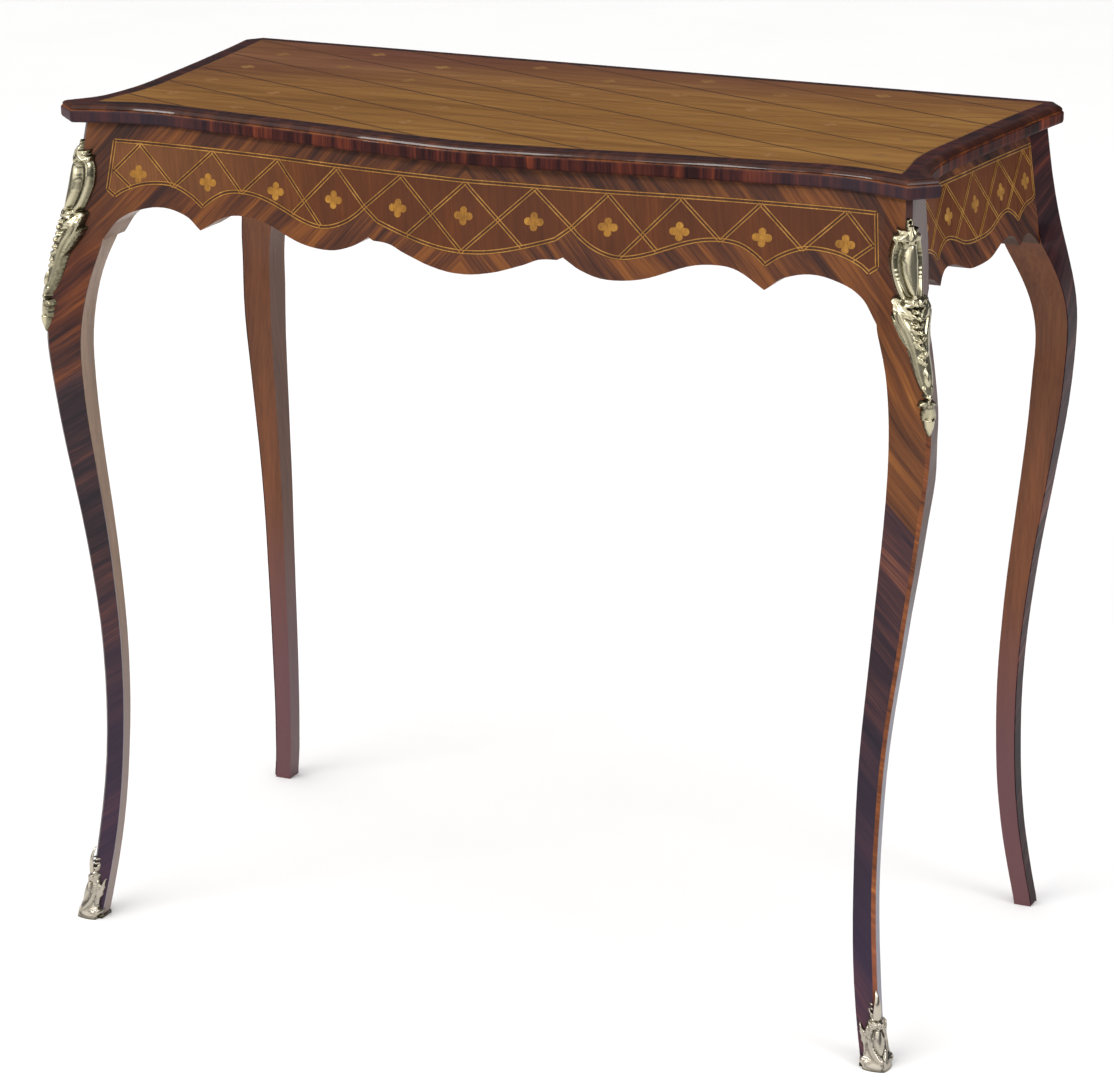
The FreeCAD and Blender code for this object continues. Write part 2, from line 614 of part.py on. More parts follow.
def butt_joined(faces):
    # each strip is cut where an earlier one runs through it
    out, done = [], []
    for f in faces:
        g = f.cut(done) if done else f
        out += [k for k in g.Faces if k.Area > 1.0]
        done.append(f)
    return out


FLAT = -330.0
fm = lambda x, z: V(x, FLAT, z)
PATHS = [[(353.5, 680.0), (345, 685.5), (330, 691.2), (315, 694), (300, 694.4), (288, 691.5), (275, 685.5), (264, 678.2)],
         [(264, 678.2), (254, 686), (242, 692.2), (228, 694.6), (212, 694), (196, 690.5), (180, 685), (164, 679.2),
          (150, 675.6), (138, 674.8), (126, 677.2), (114, 682.5), (104, 689.5), (97, 696)],
         [(83, 685.6), (70, 681.5), (55, 677.2), (38, 673), (20, 670), (0, 668.8)]]
LINES = [((331, 726), (355.5, 701.5)), ((355.5, 701.5), (338, 688)), ((331, 726), (294.5, 692.5)),
         ((294.5, 692.5), (256.8, 726)), ((256.8, 726), (224.5, 693.8)), ((224.5, 693.8), (188.7, 726)),
         ((188.7, 726), (140, 675)), ((127, 725.5), (171, 682)), ((127, 725.5), (97, 696)), ((97, 696), (62.5, 725.5)),
         ((62.5, 725.5), (0, 669)), ((0, 725.8), (54, 677)), ((97, 696), (83, 685.6)), ((356, 727.4), (360.6, 685)),
         ((360.6, 685), (353.5, 680))]
nets = [strip((-356, 727.4), (356, 727.4), SW, fm)]
for a, b in LINES:
    nets.append(strip(a, b, SW, fm))
    nets.append(strip((-a[0], a[1]), (-b[0], b[1]), SW, fm))
for p in PATHS:
    nets.append(band_path(p, SW, fm))
    nets.append(band_path([(-q[0], q[1]) for q in p], SW, fm))
NET = butt_joined(nets)
outline = [(-356, 727.4), (356, 727.4), (360.6, 685), (353.5, 680)] + PATHS[0][1:] + PATHS[1][1:] + PATHS[2]
outline += [(-q[0], q[1]) for q in reversed(PATHS[2])][1:] + [(-q[0], q[1]) for q in reversed(PATHS[1])]
outline += [(-q[0], q[1]) for q in reversed(PATHS[0])][1:-1] + [(-353.5, 680), (-360.6, 685)]
panel_face = poly_face([fm(*p) for p in outline])
FOIL_X = [0, 63.6, 128.4, 189.1, 259.8, 331.3]
ffoil = []
for x in FOIL_X:
    for s in ((1, -1) if x else (1,)):
        ffoil.append(Part.Face(quatrefoil_wire(s * x, 698.6 + 1.4 * (x / 331.0) ** 2, 7.8, fm)))
DEEP = V(0, 260, 0)
slab = front_slab(0.0, FV, RE, ZLO, ZU).common(box(-RE, RE, -320, 0, ZLO, ZU)).cut(FR_LOW)
net_s = Part.makeCompound([f.extrude(DEEP) for f in NET])
foil_s = Part.makeCompound([f.extrude(DEEP) for f in ffoil])
panel_s = panel_face.extrude(DEEP)
F_STRING = group([slab.common(f.extrude(DEEP)) for f in NET])
F_FOILS = slab.common(foil_s)
rest = slab.cut(net_s)
F_PANEL = rest.common(panel_s).cut(foil_s)
F_BORDER = rest.cut(panel_s)

# side aprons
sm = lambda s, z: V(500, s + Y0, z)
SC = SIDE_MID
S_FOIL = [-104, -53, 0, 53, 102]
s_half = [(0, 669.5), (14, 669.8), (28, 672), (42, 677.5), (54, 681), (64, 681), (74, 676), (82, 669.5)]
s_half2 = [(82, 669.5), (90, 675.5), (100, 679.5), (112, 681)]
snet = [strip((SF + 1, 727.4), (SR - 0.5, 727.4), SW, sm)]
s_lines = []
tops = [SC + f for f in S_FOIL]
for i, t in enumerate(tops):
    for s in (-1, 1):
        b = (t + s * 26.2, 697.0)
        if SF + 3 < b[0] < SR - 3:
            s_lines.append(((t, 726), b))
            end = (t + s * 44, 678.5) if abs(t - SC) < 30 else (t + s * 38, 684.5)
            if SF + 3 < end[0] < SR - 3 and abs(end[0] - SC) < 80:
                s_lines.append((b, end))
for a, b in s_lines:
    snet.append(strip(a, b, SW, sm))
for p in (s_half, s_half2):
    right_p = [(SC + q[0], q[1]) for q in p]
    left_p = [(SC - q[0], q[1]) for q in p]
    snet.append(band_path(left_p, SW, sm))
    snet.append(band_path(right_p, SW, sm))
s_out = [(SF + 3.0, 727.4), (SR - 3.0, 727.4), (SR - 3.0, 683), (SC + 112, 681)] + [(SC + q[0], q[1]) for q in reversed(s_half2[:-1])]
s_out += [(SC + q[0], q[1]) for q in reversed(s_half[:-1])] + [(SC - q[0], q[1]) for q in s_half[1:]]
s_out += [(SC - q[0], q[1]) for q in s_half2[1:]] + [(SF + 3.0, 683)]
snet.append(strip((SR - 3.0, 727.4), (SR - 3.0, 683), SW, sm))
snet.append(strip((SR - 3.0, 683), (SC + 112, 681), SW, sm))
snet.append(strip((SF + 3.0, 727.4), (SF + 3.0, 683), SW, sm))
snet.append(strip((SF + 3.0, 683), (SC - 112, 681), SW, sm))
S_NET = butt_joined(snet)
SDEEP = V(-180, 0, 0)
s_slab = side_slab(0.0, -FV, SF, SR, ZLO, ZU).common(box(300, 480, SF + Y0, SR + Y0, ZLO, ZU)).cut(side_low)
s_net_s = Part.makeCompound([f.extrude(SDEEP) for f in S_NET])
s_foil = [Part.Face(quatrefoil_wire(SC + f, 698.8, 7.5, sm)) for f in S_FOIL]
s_foil_s = Part.makeCompound([f.extrude(SDEEP) for f in s_foil])
s_panel_s = poly_face([sm(*p) for p in s_out]).extrude(SDEEP)
S_STRING = group([s_slab.common(f.extrude(SDEEP)) for f in S_NET])
S_FOILS = s_slab.common(s_foil_s)
s_rest = s_slab.cut(s_net_s)
S_PANEL = s_rest.common(s_panel_s).cut(s_foil_s)
S_BORDER = s_rest.cut(s_panel_s)

# ---------------------------------------------------------------- bronze mounts
# corner mount down the knee: half width and outward swell against height
CZ = [549, 553, 560, 572, 582, 592, 608, 624, 638, 647, 655, 662, 674, 688, 698, 704, 710, 717, 723, 726]
ch_w = curve_fn(CZ, [1.5, 3.6, 5.0, 6.5, 5.5, 7.0, 9.5, 13.0, 16.5, 18.0, 17.5, 15.0, 15.0, 15.5, 12.5, 10.0, 9.5, 8.5, 4.5, 1.8])
ch_d = curve_fn(CZ, [3.0, 5.6, 7.2, 8.2, 8.0, 9.4, 10.8, 11.8, 12.2, 12.2, 11.6, 10.0, 8.8, 8.2, 7.2, 6.8, 6.8, 5.6, 4.0, 2.0])
R2 = math.sqrt(0.5)


def chute_wire(z):
    p = front_points(z)
    m = ((p[1][0] + p[2][0]) / 2, (p[1][1] + p[2][1]) / 2)
    out = (R2, -R2)
    along = (R2, R2)
    w, d = ch_w(z), ch_d(z)
    pts = []
    for a in (0, 25, 50, 75, 105, 130, 155, 180, 230, 310):
        s, r = math.cos(math.radians(a)) * w, math.sin(math.radians(a))
        # wrap around the corner: the wings fall back along the two leg faces
        back = 0.92 * max(0.0, abs(s) - 3.0)
        q = (d if r > 0 else 6.0) * r - back
        pts.append(V(m[0] + along[0] * s + out[0] * q, m[1] + along[1] * s + out[1] * q, z))
    return Part.makePolygon(pts + [pts[0]])


chute = Part.makeLoft([chute_wire(z) for z in CZ], True, True)
chute = chute.cut(full_f)
chute = max(chute.Solids, key=lambda s: s.Volume)

SH = D("sabot_tall")
sab = []
for z, o in ((0, 2.4), (8, 2.6), (20, 2.4), (34, 2.2), (46, 2.0), (58, 1.8), (SH, 1.3)):
    pts = list(front_points(max(z, FOOT), o)[:5])
    if z < 30:
        toe = 6.69 * (1 - z / 30.0)
        pts[1] = (pts[1][0] + toe * 0.1, pts[1][1] - toe)
        pts[2] = (pts[2][0] + toe * 0.4, pts[2][1] - toe * 0.4)
    sab.append((z, pts))
sabot = loft(sab).cut(full_f)
sabot = max(sabot.Solids, key=lambda s: s.Volume)

PN = D("pin_dia") / 2.0


def pin(z, deep, out):
    p = front_points(z)
    m = V((p[1][0] + p[2][0]) / 2, (p[1][1] + p[2][1]) / 2, z)
    d = V(R2, -R2, 0)
    return Part.makeCylinder(PN, deep + out, m - d * deep, d)


CH_PINS = [pin(620, 10, 3.0), pin(690, 12, 3.0)]
SB_PINS = [pin(44, 6, 1.6)]
cp = Part.makeCompound(CH_PINS)
sp = Part.makeCompound(SB_PINS)
chute = chute.cut(cp)
sabot = sabot.cut(sp)
core_f = core_f.cut(Part.makeCompound(CH_PINS + SB_PINS))
arris_f = arris_f.cut(Part.makeCompound(CH_PINS + SB_PINS))

# ---------------------------------------------------------------- top fixing screws
BL = D("block_leg")
BT = D("block_tall")
SD, HD = D("screw_dia") / 2.0, D("screw_head_dia") / 2.0
BITE = D("screw_bite")
BRF = D("back_rail_front") + Y0
off = BL * 0.30
SPOTS = [(SI - off, FB + off), (-SI + off, FB + off), (SI - off, BRF - off), (-SI + off, BRF - off),
         (0.0, FB + D("rail_block_deep") / 2.0), (0.0, BRF - D("rail_block_deep") / 2.0)]


def screw(x, y):
    z0 = ZU - BT
    shank = Part.makeCylinder(SD, BT + BITE, V(x, y, z0))
    head = Part.makeCone(HD, SD, HD - SD, V(x, y, z0))
    slot = box(x - HD - 1, x + HD + 1, y - 0.5, y + 0.5, z0 - 1, z0 + 1.0)
    return shank.fuse(head).cut(slot), shank.fuse(head)


SCREWS = [screw(*s)[0] for s in SPOTS]
SCREW_CUT = [screw(*s)[1] for s in SPOTS]
board = board.cut(Part.makeCompound(SCREW_CUT))

# ---------------------------------------------------------------- nodes made in code
node("top_board", board)
node("top_field_parquetry", TILES)
node("top_lattice_stringing", LATTICE)
node("top_quatrefoil_inlays", FOILS)
for s in ("front", "back", "left", "right"):
    node("top_crossband_" + s, BANDS[s])
node("top_light_line", Part.makeCompound(LIGHT))
for s in ("front", "back", "left", "right"):
    node("top_edge_" + s, EDGE[s])
node("top_edge_corner_pieces", Part.makeCompound([EDGE[n] for n in ("cant_fr", "cant_br", "cant_bl", "cant_fl")]))
node("front_rail", front_rail)
node("right_rail", right_rail)
node("left_rail", mirrored(right_rail))
node("leg_front_right", core_f)
node("leg_front_left", mirrored(core_f))
node("leg_back_right", core_b)
node("leg_back_left", mirrored(core_b))
node("leg_veneer_front_right", group([face_f, flank_f]))
node("leg_veneer_front_left", mirrored(group([face_f, flank_f])))
node("leg_arris_strips", group([arris_f, mirrored(arris_f)]))
node("leg_veneer_back_right", flank_b)
node("leg_veneer_back_left", mirrored(flank_b))
node("front_panel_veneer", group([F_PANEL]))
node("front_border_veneer", group([F_BORDER]))
node("front_stringing", group([F_STRING]))
node("front_quatrefoils", group([F_FOILS]))
for side, fn in (("right", lambda s: s), ("left", mirrored)):
    node(side + "_panel_veneer", fn(group([S_PANEL])))
    node(side + "_border_veneer", fn(group([S_BORDER])))
    node(side + "_stringing", fn(group([S_STRING])))
    node(side + "_quatrefoils", fn(group([S_FOILS])))
node("chute_front_right", chute)
node("chute_front_left", mirrored(chute))
node("sabot_front_right", sabot)
node("sabot_front_left", mirrored(sabot))
node("chute_pins", group(CH_PINS + [mirrored(p) for p in CH_PINS]))
node("sabot_pins", group(SB_PINS + [mirrored(p) for p in SB_PINS]))
node("tenon_pegs", group(PEGS + [mirrored(p) for p in PEGS]))
node("top_fixing_screws", group(SCREWS))

# ---------------------------------------------------------------- parametric nodes


def pbox(name, x, y, z, l, w, h):
    b = doc.addObject("Part::Box", name)
    b.setExpression("Length", l)
    b.setExpression("Width", w)
    b.setExpression("Height", h)
    b.setExpression("Placement.Base.x", x)
    b.setExpression("Placement.Base.y", y)
    b.setExpression("Placement.Base.z", z)
    return b


br_main = pbox("back_rail_plank", "-Dims.rail_end", "Dims.back_rail_front + Dims.depth_shift", "Dims.back_rail_low",
               "2 * Dims.rail_end", "Dims.back_rail_thick", "Dims.top_underside - Dims.back_rail_low")
br_t1 = pbox("back_rail_tenon_right", "Dims.rail_end", "149 + Dims.depth_shift", "Dims.tenon_low",
             "5", "Dims.tenon_thick", "Dims.tenon_tall")
br_t2 = pbox("back_rail_tenon_left", "-Dims.rail_end - 5", "149 + Dims.depth_shift", "Dims.tenon_low",
             "5", "Dims.tenon_thick", "Dims.tenon_tall")
back_rail = doc.addObject("Part::MultiFuse", "back_rail")
back_rail.Shapes = [br_main, br_t1, br_t2]
back_rail.Label = "back_rail"
NODES.append(back_rail)


def drilled_block(label, x, y, spot_x, spot_y):
    b = pbox(label + "_blank", x, y, "Dims.top_underside - Dims.block_tall", "Dims.rail_block_long",
             "Dims.rail_block_deep", "Dims.block_tall")
    c = doc.addObject("Part::Cylinder", label + "_bore")
    c.setExpression("Radius", "Dims.screw_dia / 2")
    c.setExpression("Height", "Dims.block_tall")
    k = doc.addObject("Part::Cone", label + "_sink")
    k.setExpression("Radius1", "Dims.screw_head_dia / 2")
    k.setExpression("Radius2", "Dims.screw_dia / 2")
    k.setExpression("Height", "Dims.screw_head_dia / 2 - Dims.screw_dia / 2")
    for o in (c, k):
        o.setExpression("Placement.Base.x", spot_x)
        o.setExpression("Placement.Base.y", spot_y)
        o.setExpression("Placement.Base.z", "Dims.top_underside - Dims.block_tall")
    f = doc.addObject("Part::Fuse", label + "_drill")
    f.Base, f.Tool = c, k
    cut = doc.addObject("Part::Cut", label)
    cut.Base, cut.Tool = b, f
    cut.Label = label
    NODES.append(cut)


drilled_block("rail_block_front", "-Dims.rail_block_long / 2", "Dims.front_rail_back + Dims.depth_shift", "0",
              "Dims.front_rail_back + Dims.depth_shift + Dims.rail_block_deep / 2")
drilled_block("rail_block_back", "-Dims.rail_block_long / 2",
              "Dims.back_rail_front + Dims.depth_shift - Dims.rail_block_deep", "0",
              "Dims.back_rail_front + Dims.depth_shift - Dims.rail_block_deep / 2")


def corner_block(label, sx, sy):
    # triangular glue block with a countersunk bore, right angle towards the corner of the frame
    import Sketcher
    body = doc.addObject("PartDesign::Body", label)
    body.Label = label
    plane = [f for f in body.Origin.OriginFeatures if f.Role == "XY_Plane"][0]
    sk = body.newObject("Sketcher::SketchObject", label + "_outline")
    sk.AttachmentSupport = [(plane, "")]
    sk.MapMode = "FlatFace"
    p = [V(0, 0, 0), V(-sx * BL, 0, 0), V(0, -sy * BL, 0)]
    for i in range(3):
        sk.addGeometry(Part.LineSegment(p[i], p[(i + 1) % 3]), False)
    for i in range(3):
        sk.addConstraint(Sketcher.Constraint("Coincident", i, 2, (i + 1) % 3, 1))
    sk.addConstraint(Sketcher.Constraint("Coincident", 0, 1, -1, 1))
    sk.addConstraint(Sketcher.Constraint("Horizontal", 0))
    sk.addConstraint(Sketcher.Constraint("Vertical", 2))
    c1 = sk.addConstraint(Sketcher.Constraint("Distance", 0, BL))
    c2 = sk.addConstraint(Sketcher.Constraint("Distance", 2, BL))
    sk.setExpression("Constraints[%d]" % c1, "Dims.block_leg")
    sk.setExpression("Constraints[%d]" % c2, "Dims.block_leg")
    pad = body.newObject("PartDesign::Pad", label + "_pad")
    pad.Profile = sk
    pad.setExpression("Length", "Dims.block_tall")
    doc.recompute()
    for nm, rad, cone in (("_bore", "Dims.screw_dia / 2", False), ("_sink", "", True)):
        if cone:
            t = body.newObject("PartDesign::SubtractiveCone", label + nm)
            t.setExpression("Radius1", "Dims.screw_head_dia / 2")
            t.setExpression("Radius2", "Dims.screw_dia / 2")
            t.setExpression("Height", "Dims.screw_head_dia / 2 - Dims.screw_dia / 2")
        else:
            t = body.newObject("PartDesign::SubtractiveCylinder", label + nm)
            t.setExpression("Radius", rad)
            t.setExpression("Height", "Dims.block_tall")
        t.AttachmentSupport = [(plane, "")]
        t.MapMode = "FlatFace"
        t.setExpression("AttachmentOffset.Base.x", "%d * Dims.block_leg * 0.3" % -sx)
        t.setExpression("AttachmentOffset.Base.y", "%d * Dims.block_leg * 0.3" % -sy)
        doc.recompute()
    body.setExpression("Placement.Base.x", "%d * Dims.side_rail_inner" % sx)
    body.setExpression("Placement.Base.y", ("Dims.front_rail_back" if sy < 0 else "Dims.back_rail_front") + " + Dims.depth_shift")
    body.setExpression("Placement.Base.z", "Dims.top_underside - Dims.block_tall")
    NODES.append(body)


corner_block("corner_block_front_right", 1, -1)
corner_block("corner_block_front_left", -1, -1)
corner_block("corner_block_back_right", 1, 1)
corner_block("corner_block_back_left", -1, 1)
doc.recompute()

# ---------------------------------------------------------------- checks and export
for o in doc.Objects:
    if any(s in ("Invalid", "Error") for s in o.State):
        raise RuntimeError("object in error: " + o.Label)
os.makedirs("parts", exist_ok=True)
box_all = FreeCAD.BoundBox()
for o in NODES:
    if o.Shape.isNull() or not o.Shape.isValid():
        raise RuntimeError("bad shape: " + o.Label)
    o.Shape.exportStep("parts/%s.step" % o.Label)
    box_all.add(o.Shape.BoundBox)
    print("%-28s solids %3d  vol %10.1f" % (o.Label, len(o.Shape.Solids), o.Shape.Volume))
print("nodes", len(NODES), box_all)
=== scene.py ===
import bpy
import math
import numpy as np
from mathutils import Matrix, Vector
from mathutils.bvhtree import BVHTree


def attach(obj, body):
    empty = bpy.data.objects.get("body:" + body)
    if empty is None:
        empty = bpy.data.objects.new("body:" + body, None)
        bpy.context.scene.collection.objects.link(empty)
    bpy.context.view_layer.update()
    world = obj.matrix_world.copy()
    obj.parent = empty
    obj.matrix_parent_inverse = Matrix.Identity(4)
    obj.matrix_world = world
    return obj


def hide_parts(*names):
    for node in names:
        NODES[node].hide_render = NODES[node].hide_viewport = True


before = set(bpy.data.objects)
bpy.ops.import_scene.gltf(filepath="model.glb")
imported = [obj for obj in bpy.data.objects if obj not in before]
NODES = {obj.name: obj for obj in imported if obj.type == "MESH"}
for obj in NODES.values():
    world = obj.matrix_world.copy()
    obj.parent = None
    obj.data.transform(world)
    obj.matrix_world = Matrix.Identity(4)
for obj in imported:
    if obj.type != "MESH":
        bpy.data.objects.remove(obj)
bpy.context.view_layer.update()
scene = bpy.context.scene


# ---------------------------------------------------------------- small helpers
def lin(r, g, b):
    """sRGB 0-255 to linear"""
    out = []
    for v in (r, g, b):
        v /= 255.0
        out.append(v / 12.92 if v <= 0.04045 else ((v + 0.055) / 1.055) ** 2.4)
    return tuple(out)


def smooth(a, b, x):
    t = np.clip((np.asarray(x, float) - a) / (b - a), 0.0, 1.0)
    return t * t * (3 - 2 * t)


class Mat:
    """A node material with the object's own coordinates, in metres, at hand."""

    def __init__(self, name):
        self.m = bpy.data.materials.new(name)
        self.m.use_nodes = True
        self.t = self.m.node_tree
        self.t.nodes.clear()
        out = self.t.nodes.new("ShaderNodeOutputMaterial")
        self.b = self.t.nodes.new("ShaderNodeBsdfPrincipled")
        self.t.links.new(self.b.outputs["BSDF"], out.inputs["Surface"])
        tc = self.t.nodes.new("ShaderNodeTexCoord")
        sep = self.t.nodes.new("ShaderNodeSeparateXYZ")
        self.t.links.new(tc.outputs["Object"], sep.inputs[0])
        self.co = tc.outputs["Object"]
        self.x, self.y, self.z = sep.outputs[0], sep.outputs[1], sep.outputs[2]

    def facing_x(self):
        """how far a face looks sideways, in the object's own frame"""
        tc = self.t.nodes.new("ShaderNodeTexCoord")
        sep = self.t.nodes.new("ShaderNodeSeparateXYZ")
        self.t.links.new(tc.outputs["Normal"], sep.inputs[0])
        return sep.outputs[0]

    def put(self, sock, v):
        if isinstance(v, bpy.types.NodeSocket):
            self.t.links.new(v, sock)
        elif sock.type == "RGBA":
            sock.default_value = (v[0], v[1], v[2], 1.0)
        else:
            sock.default_value = v

    def math(self, op, a, b=None, c=None, clamp=False):
        n = self.t.nodes.new("ShaderNodeMath")
        n.operation = op
        n.use_clamp = clamp
        for i, v in enumerate((a, b, c)):
            if v is not None:
                self.put(n.inputs[i], v)
        return n.outputs[0]

    def add(self, a, b):
        return self.math("ADD", a, b)

    def mul(self, a, b):
        return self.math("MULTIPLY", a, b)

    def lincomb(self, *pairs):
        """sum of k * socket"""
        total = None
        for k, s in pairs:
            v = s if k == 1 else self.mul(s, k)
            total = v if total is None else self.add(total, v)
        return total

    def vec(self, x, y, z=0.0):
        n = self.t.nodes.new("ShaderNodeCombineXYZ")
        for i, v in enumerate((x, y, z)):
            self.put(n.inputs[i], v)
        return n.outputs[0]

    def noise(self, v, scale=1.0, detail=3.0, rough=0.5, dist=0.0):
        n = self.t.nodes.new("ShaderNodeTexNoise")
        n.noise_dimensions = "3D"
        self.put(n.inputs["Vector"], v)
        n.inputs["Scale"].default_value = scale
        n.inputs["Detail"].default_value = detail
        n.inputs["Roughness"].default_value = rough
        n.inputs["Distortion"].default_value = dist
        return n.outputs["Fac"]

    def ramp(self, fac, stops, interp="LINEAR"):
        n = self.t.nodes.new("ShaderNodeValToRGB")
        e = n.color_ramp.elements
        while len(e) < len(stops):
            e.new(0.5)
        for el, (pos, col) in zip(e, stops):
            el.position = pos
            el.color = (col[0], col[1], col[2], 1.0)
        n.color_ramp.interpolation = interp
        self.put(n.inputs[0], fac)
        return n.outputs["Color"]

    def range(self, v, a, b, lo=0.0, hi=1.0, kind="SMOOTHSTEP"):
        n = self.t.nodes.new("ShaderNodeMapRange")
        n.interpolation_type = kind
        self.put(n.inputs["Value"], v)
        for k, q in (("From Min", a), ("From Max", b), ("To Min", lo), ("To Max", hi)):
            self.put(n.inputs[k], q)
        return n.outputs[0]

    def mix(self, fac, a, b, mode="MIX"):
        n = self.t.nodes.new("ShaderNodeMix")
        n.data_type = "RGBA"
        n.blend_type = mode
        n.clamp_factor = True
        self.put(n.inputs[0], fac)
        self.put(n.inputs[6], a)
        self.put(n.inputs[7], b)
        return n.outputs[2]

    def bump(self, height, strength, dist):
        n = self.t.nodes.new("ShaderNodeBump")
        n.inputs["Strength"].default_value = strength
        n.inputs["Distance"].default_value = dist
        self.put(n.inputs["Height"], height)
        self.put(self.b.inputs["Normal"], n.outputs["Normal"])
        if "Coat Normal" in self.b.inputs:
            pass
        return n.outputs["Normal"]

    def set(self, **kw):
        for k, v in kw.items():
            self.put(self.b.inputs[k.replace("_", " ")], v)
        return self.m


def polish(m, rough, coat=0.5, coat_rough=0.1):
    """shellac finish over the wood"""
    m.put(m.b.inputs["Roughness"], rough)
    m.b.inputs["Coat Weight"].default_value = coat
    m.b.inputs["Coat Roughness"].default_value = coat_rough
    m.b.inputs["Coat IOR"].default_value = 1.4
    m.b.inputs["IOR"].default_value = 1.42
    m.b.inputs["Specular IOR Level"].default_value = 0.22


def dull(mat, ior):
    """an old dry polish that mirrors little"""
    for n in mat.node_tree.nodes:
        if n.type == "BSDF_PRINCIPLED":
            n.inputs["IOR"].default_value = ior
    return mat


# ---------------------------------------------------------------- woods
def striped(m, p, q, r, palette, wide=130.0, contrast=1.0, broad=28.0, shift=None):
    """striped rosewood figure: p runs across the stripes, q along them, r is the third way"""
    wob = m.noise(m.vec(m.mul(p, 14.0), m.mul(q, 9.0), r), detail=2.0)
    p2 = m.add(p, m.mul(wob, 0.012))
    n0 = m.noise(m.vec(m.mul(p2, broad), m.mul(q, broad * 0.16), r), detail=2.0, rough=0.5)
    n1 = m.noise(m.vec(m.mul(p2, wide), m.mul(q, wide * 0.045), r), detail=3.0, rough=0.55)
    n2 = m.noise(m.vec(m.mul(p2, wide * 4.2), m.mul(q, wide * 0.12), r), detail=3.0, rough=0.6)
    n3 = m.noise(m.vec(m.mul(p2, 1500.0), m.mul(q, 45.0), r), detail=2.0)
    f = m.lincomb((0.30, n0), (0.38, n1), (0.22, n2), (0.10, n3))
    f = m.math("MULTIPLY_ADD", m.math("SUBTRACT", f, 0.5), 2.4 * contrast, 0.5)
    if shift is not None:
        f = m.add(f, shift)
    col = m.ramp(f, palette)
    return col, f, n3


def pores(m, p, q, r, dense=900.0, lengthwise=40.0, lo=0.60, hi=0.72):
    n = m.noise(m.vec(m.mul(p, dense), m.mul(q, lengthwise), r), detail=2.0, rough=0.5)
    return m.range(n, lo, hi)


def tone(palette, r, g, b):
    """the same figure in another shade"""
    return [(at, (c[0] * r, c[1] * g, c[2] * b)) for at, c in palette]


KING = [(0.10, lin(34, 22, 24)), (0.32, lin(64, 39, 34)), (0.52, lin(100, 61, 40)), (0.72, lin(136, 88, 48)), (0.94, lin(178, 124, 62))]
KING_DARK = [(0.10, lin(26, 18, 24)), (0.40, lin(48, 31, 34)), (0.62, lin(76, 46, 40)), (0.82, lin(104, 62, 44)), (0.97, lin(132, 82, 52))]
KING_GOLD = [(0.06, lin(58, 34, 24)), (0.30, lin(98, 60, 36)), (0.54, lin(122, 76, 42)), (0.76, lin(146, 94, 50)), (0.95, lin(186, 132, 66))]


def apron_figure(m, palette):
    """figure of the apron border, carried on over the tops of the legs"""
    along = m.math("ABSOLUTE", m.x)
    p = m.lincomb((0.72, along), (0.69, m.z))
    q = m.lincomb((0.69, along), (-0.72, m.z))
    shift = m.math("MULTIPLY_ADD", m.range(m.x, -0.20, -0.36), -0.07, 0.05)
    return striped(m, p, q, 0.0, palette, wide=105.0, broad=26.0, contrast=1.25, shift=shift)


def border_wood(name, axis):
    """striped border round the inlaid panels, the stripes leaning in from both ends towards the middle"""
    m = Mat(name)
    if axis == "x":
        col, f, n3 = apron_figure(m, T_BORDER)
    else:
        p = m.lincomb((0.72, m.y), (0.69, m.z))
        q = m.lincomb((0.69, m.y), (-0.72, m.z))
        col, f, n3 = striped(m, p, q, m.mul(m.x, 3.0), T_SIDE, wide=105.0, broad=26.0, contrast=1.4)
    polish(m, m.range(f, 0.2, 0.8, 0.46, 0.36), 0.06, 0.16)
    m.bump(n3, 0.10, 0.0004)
    return m.set(Base_Color=col)


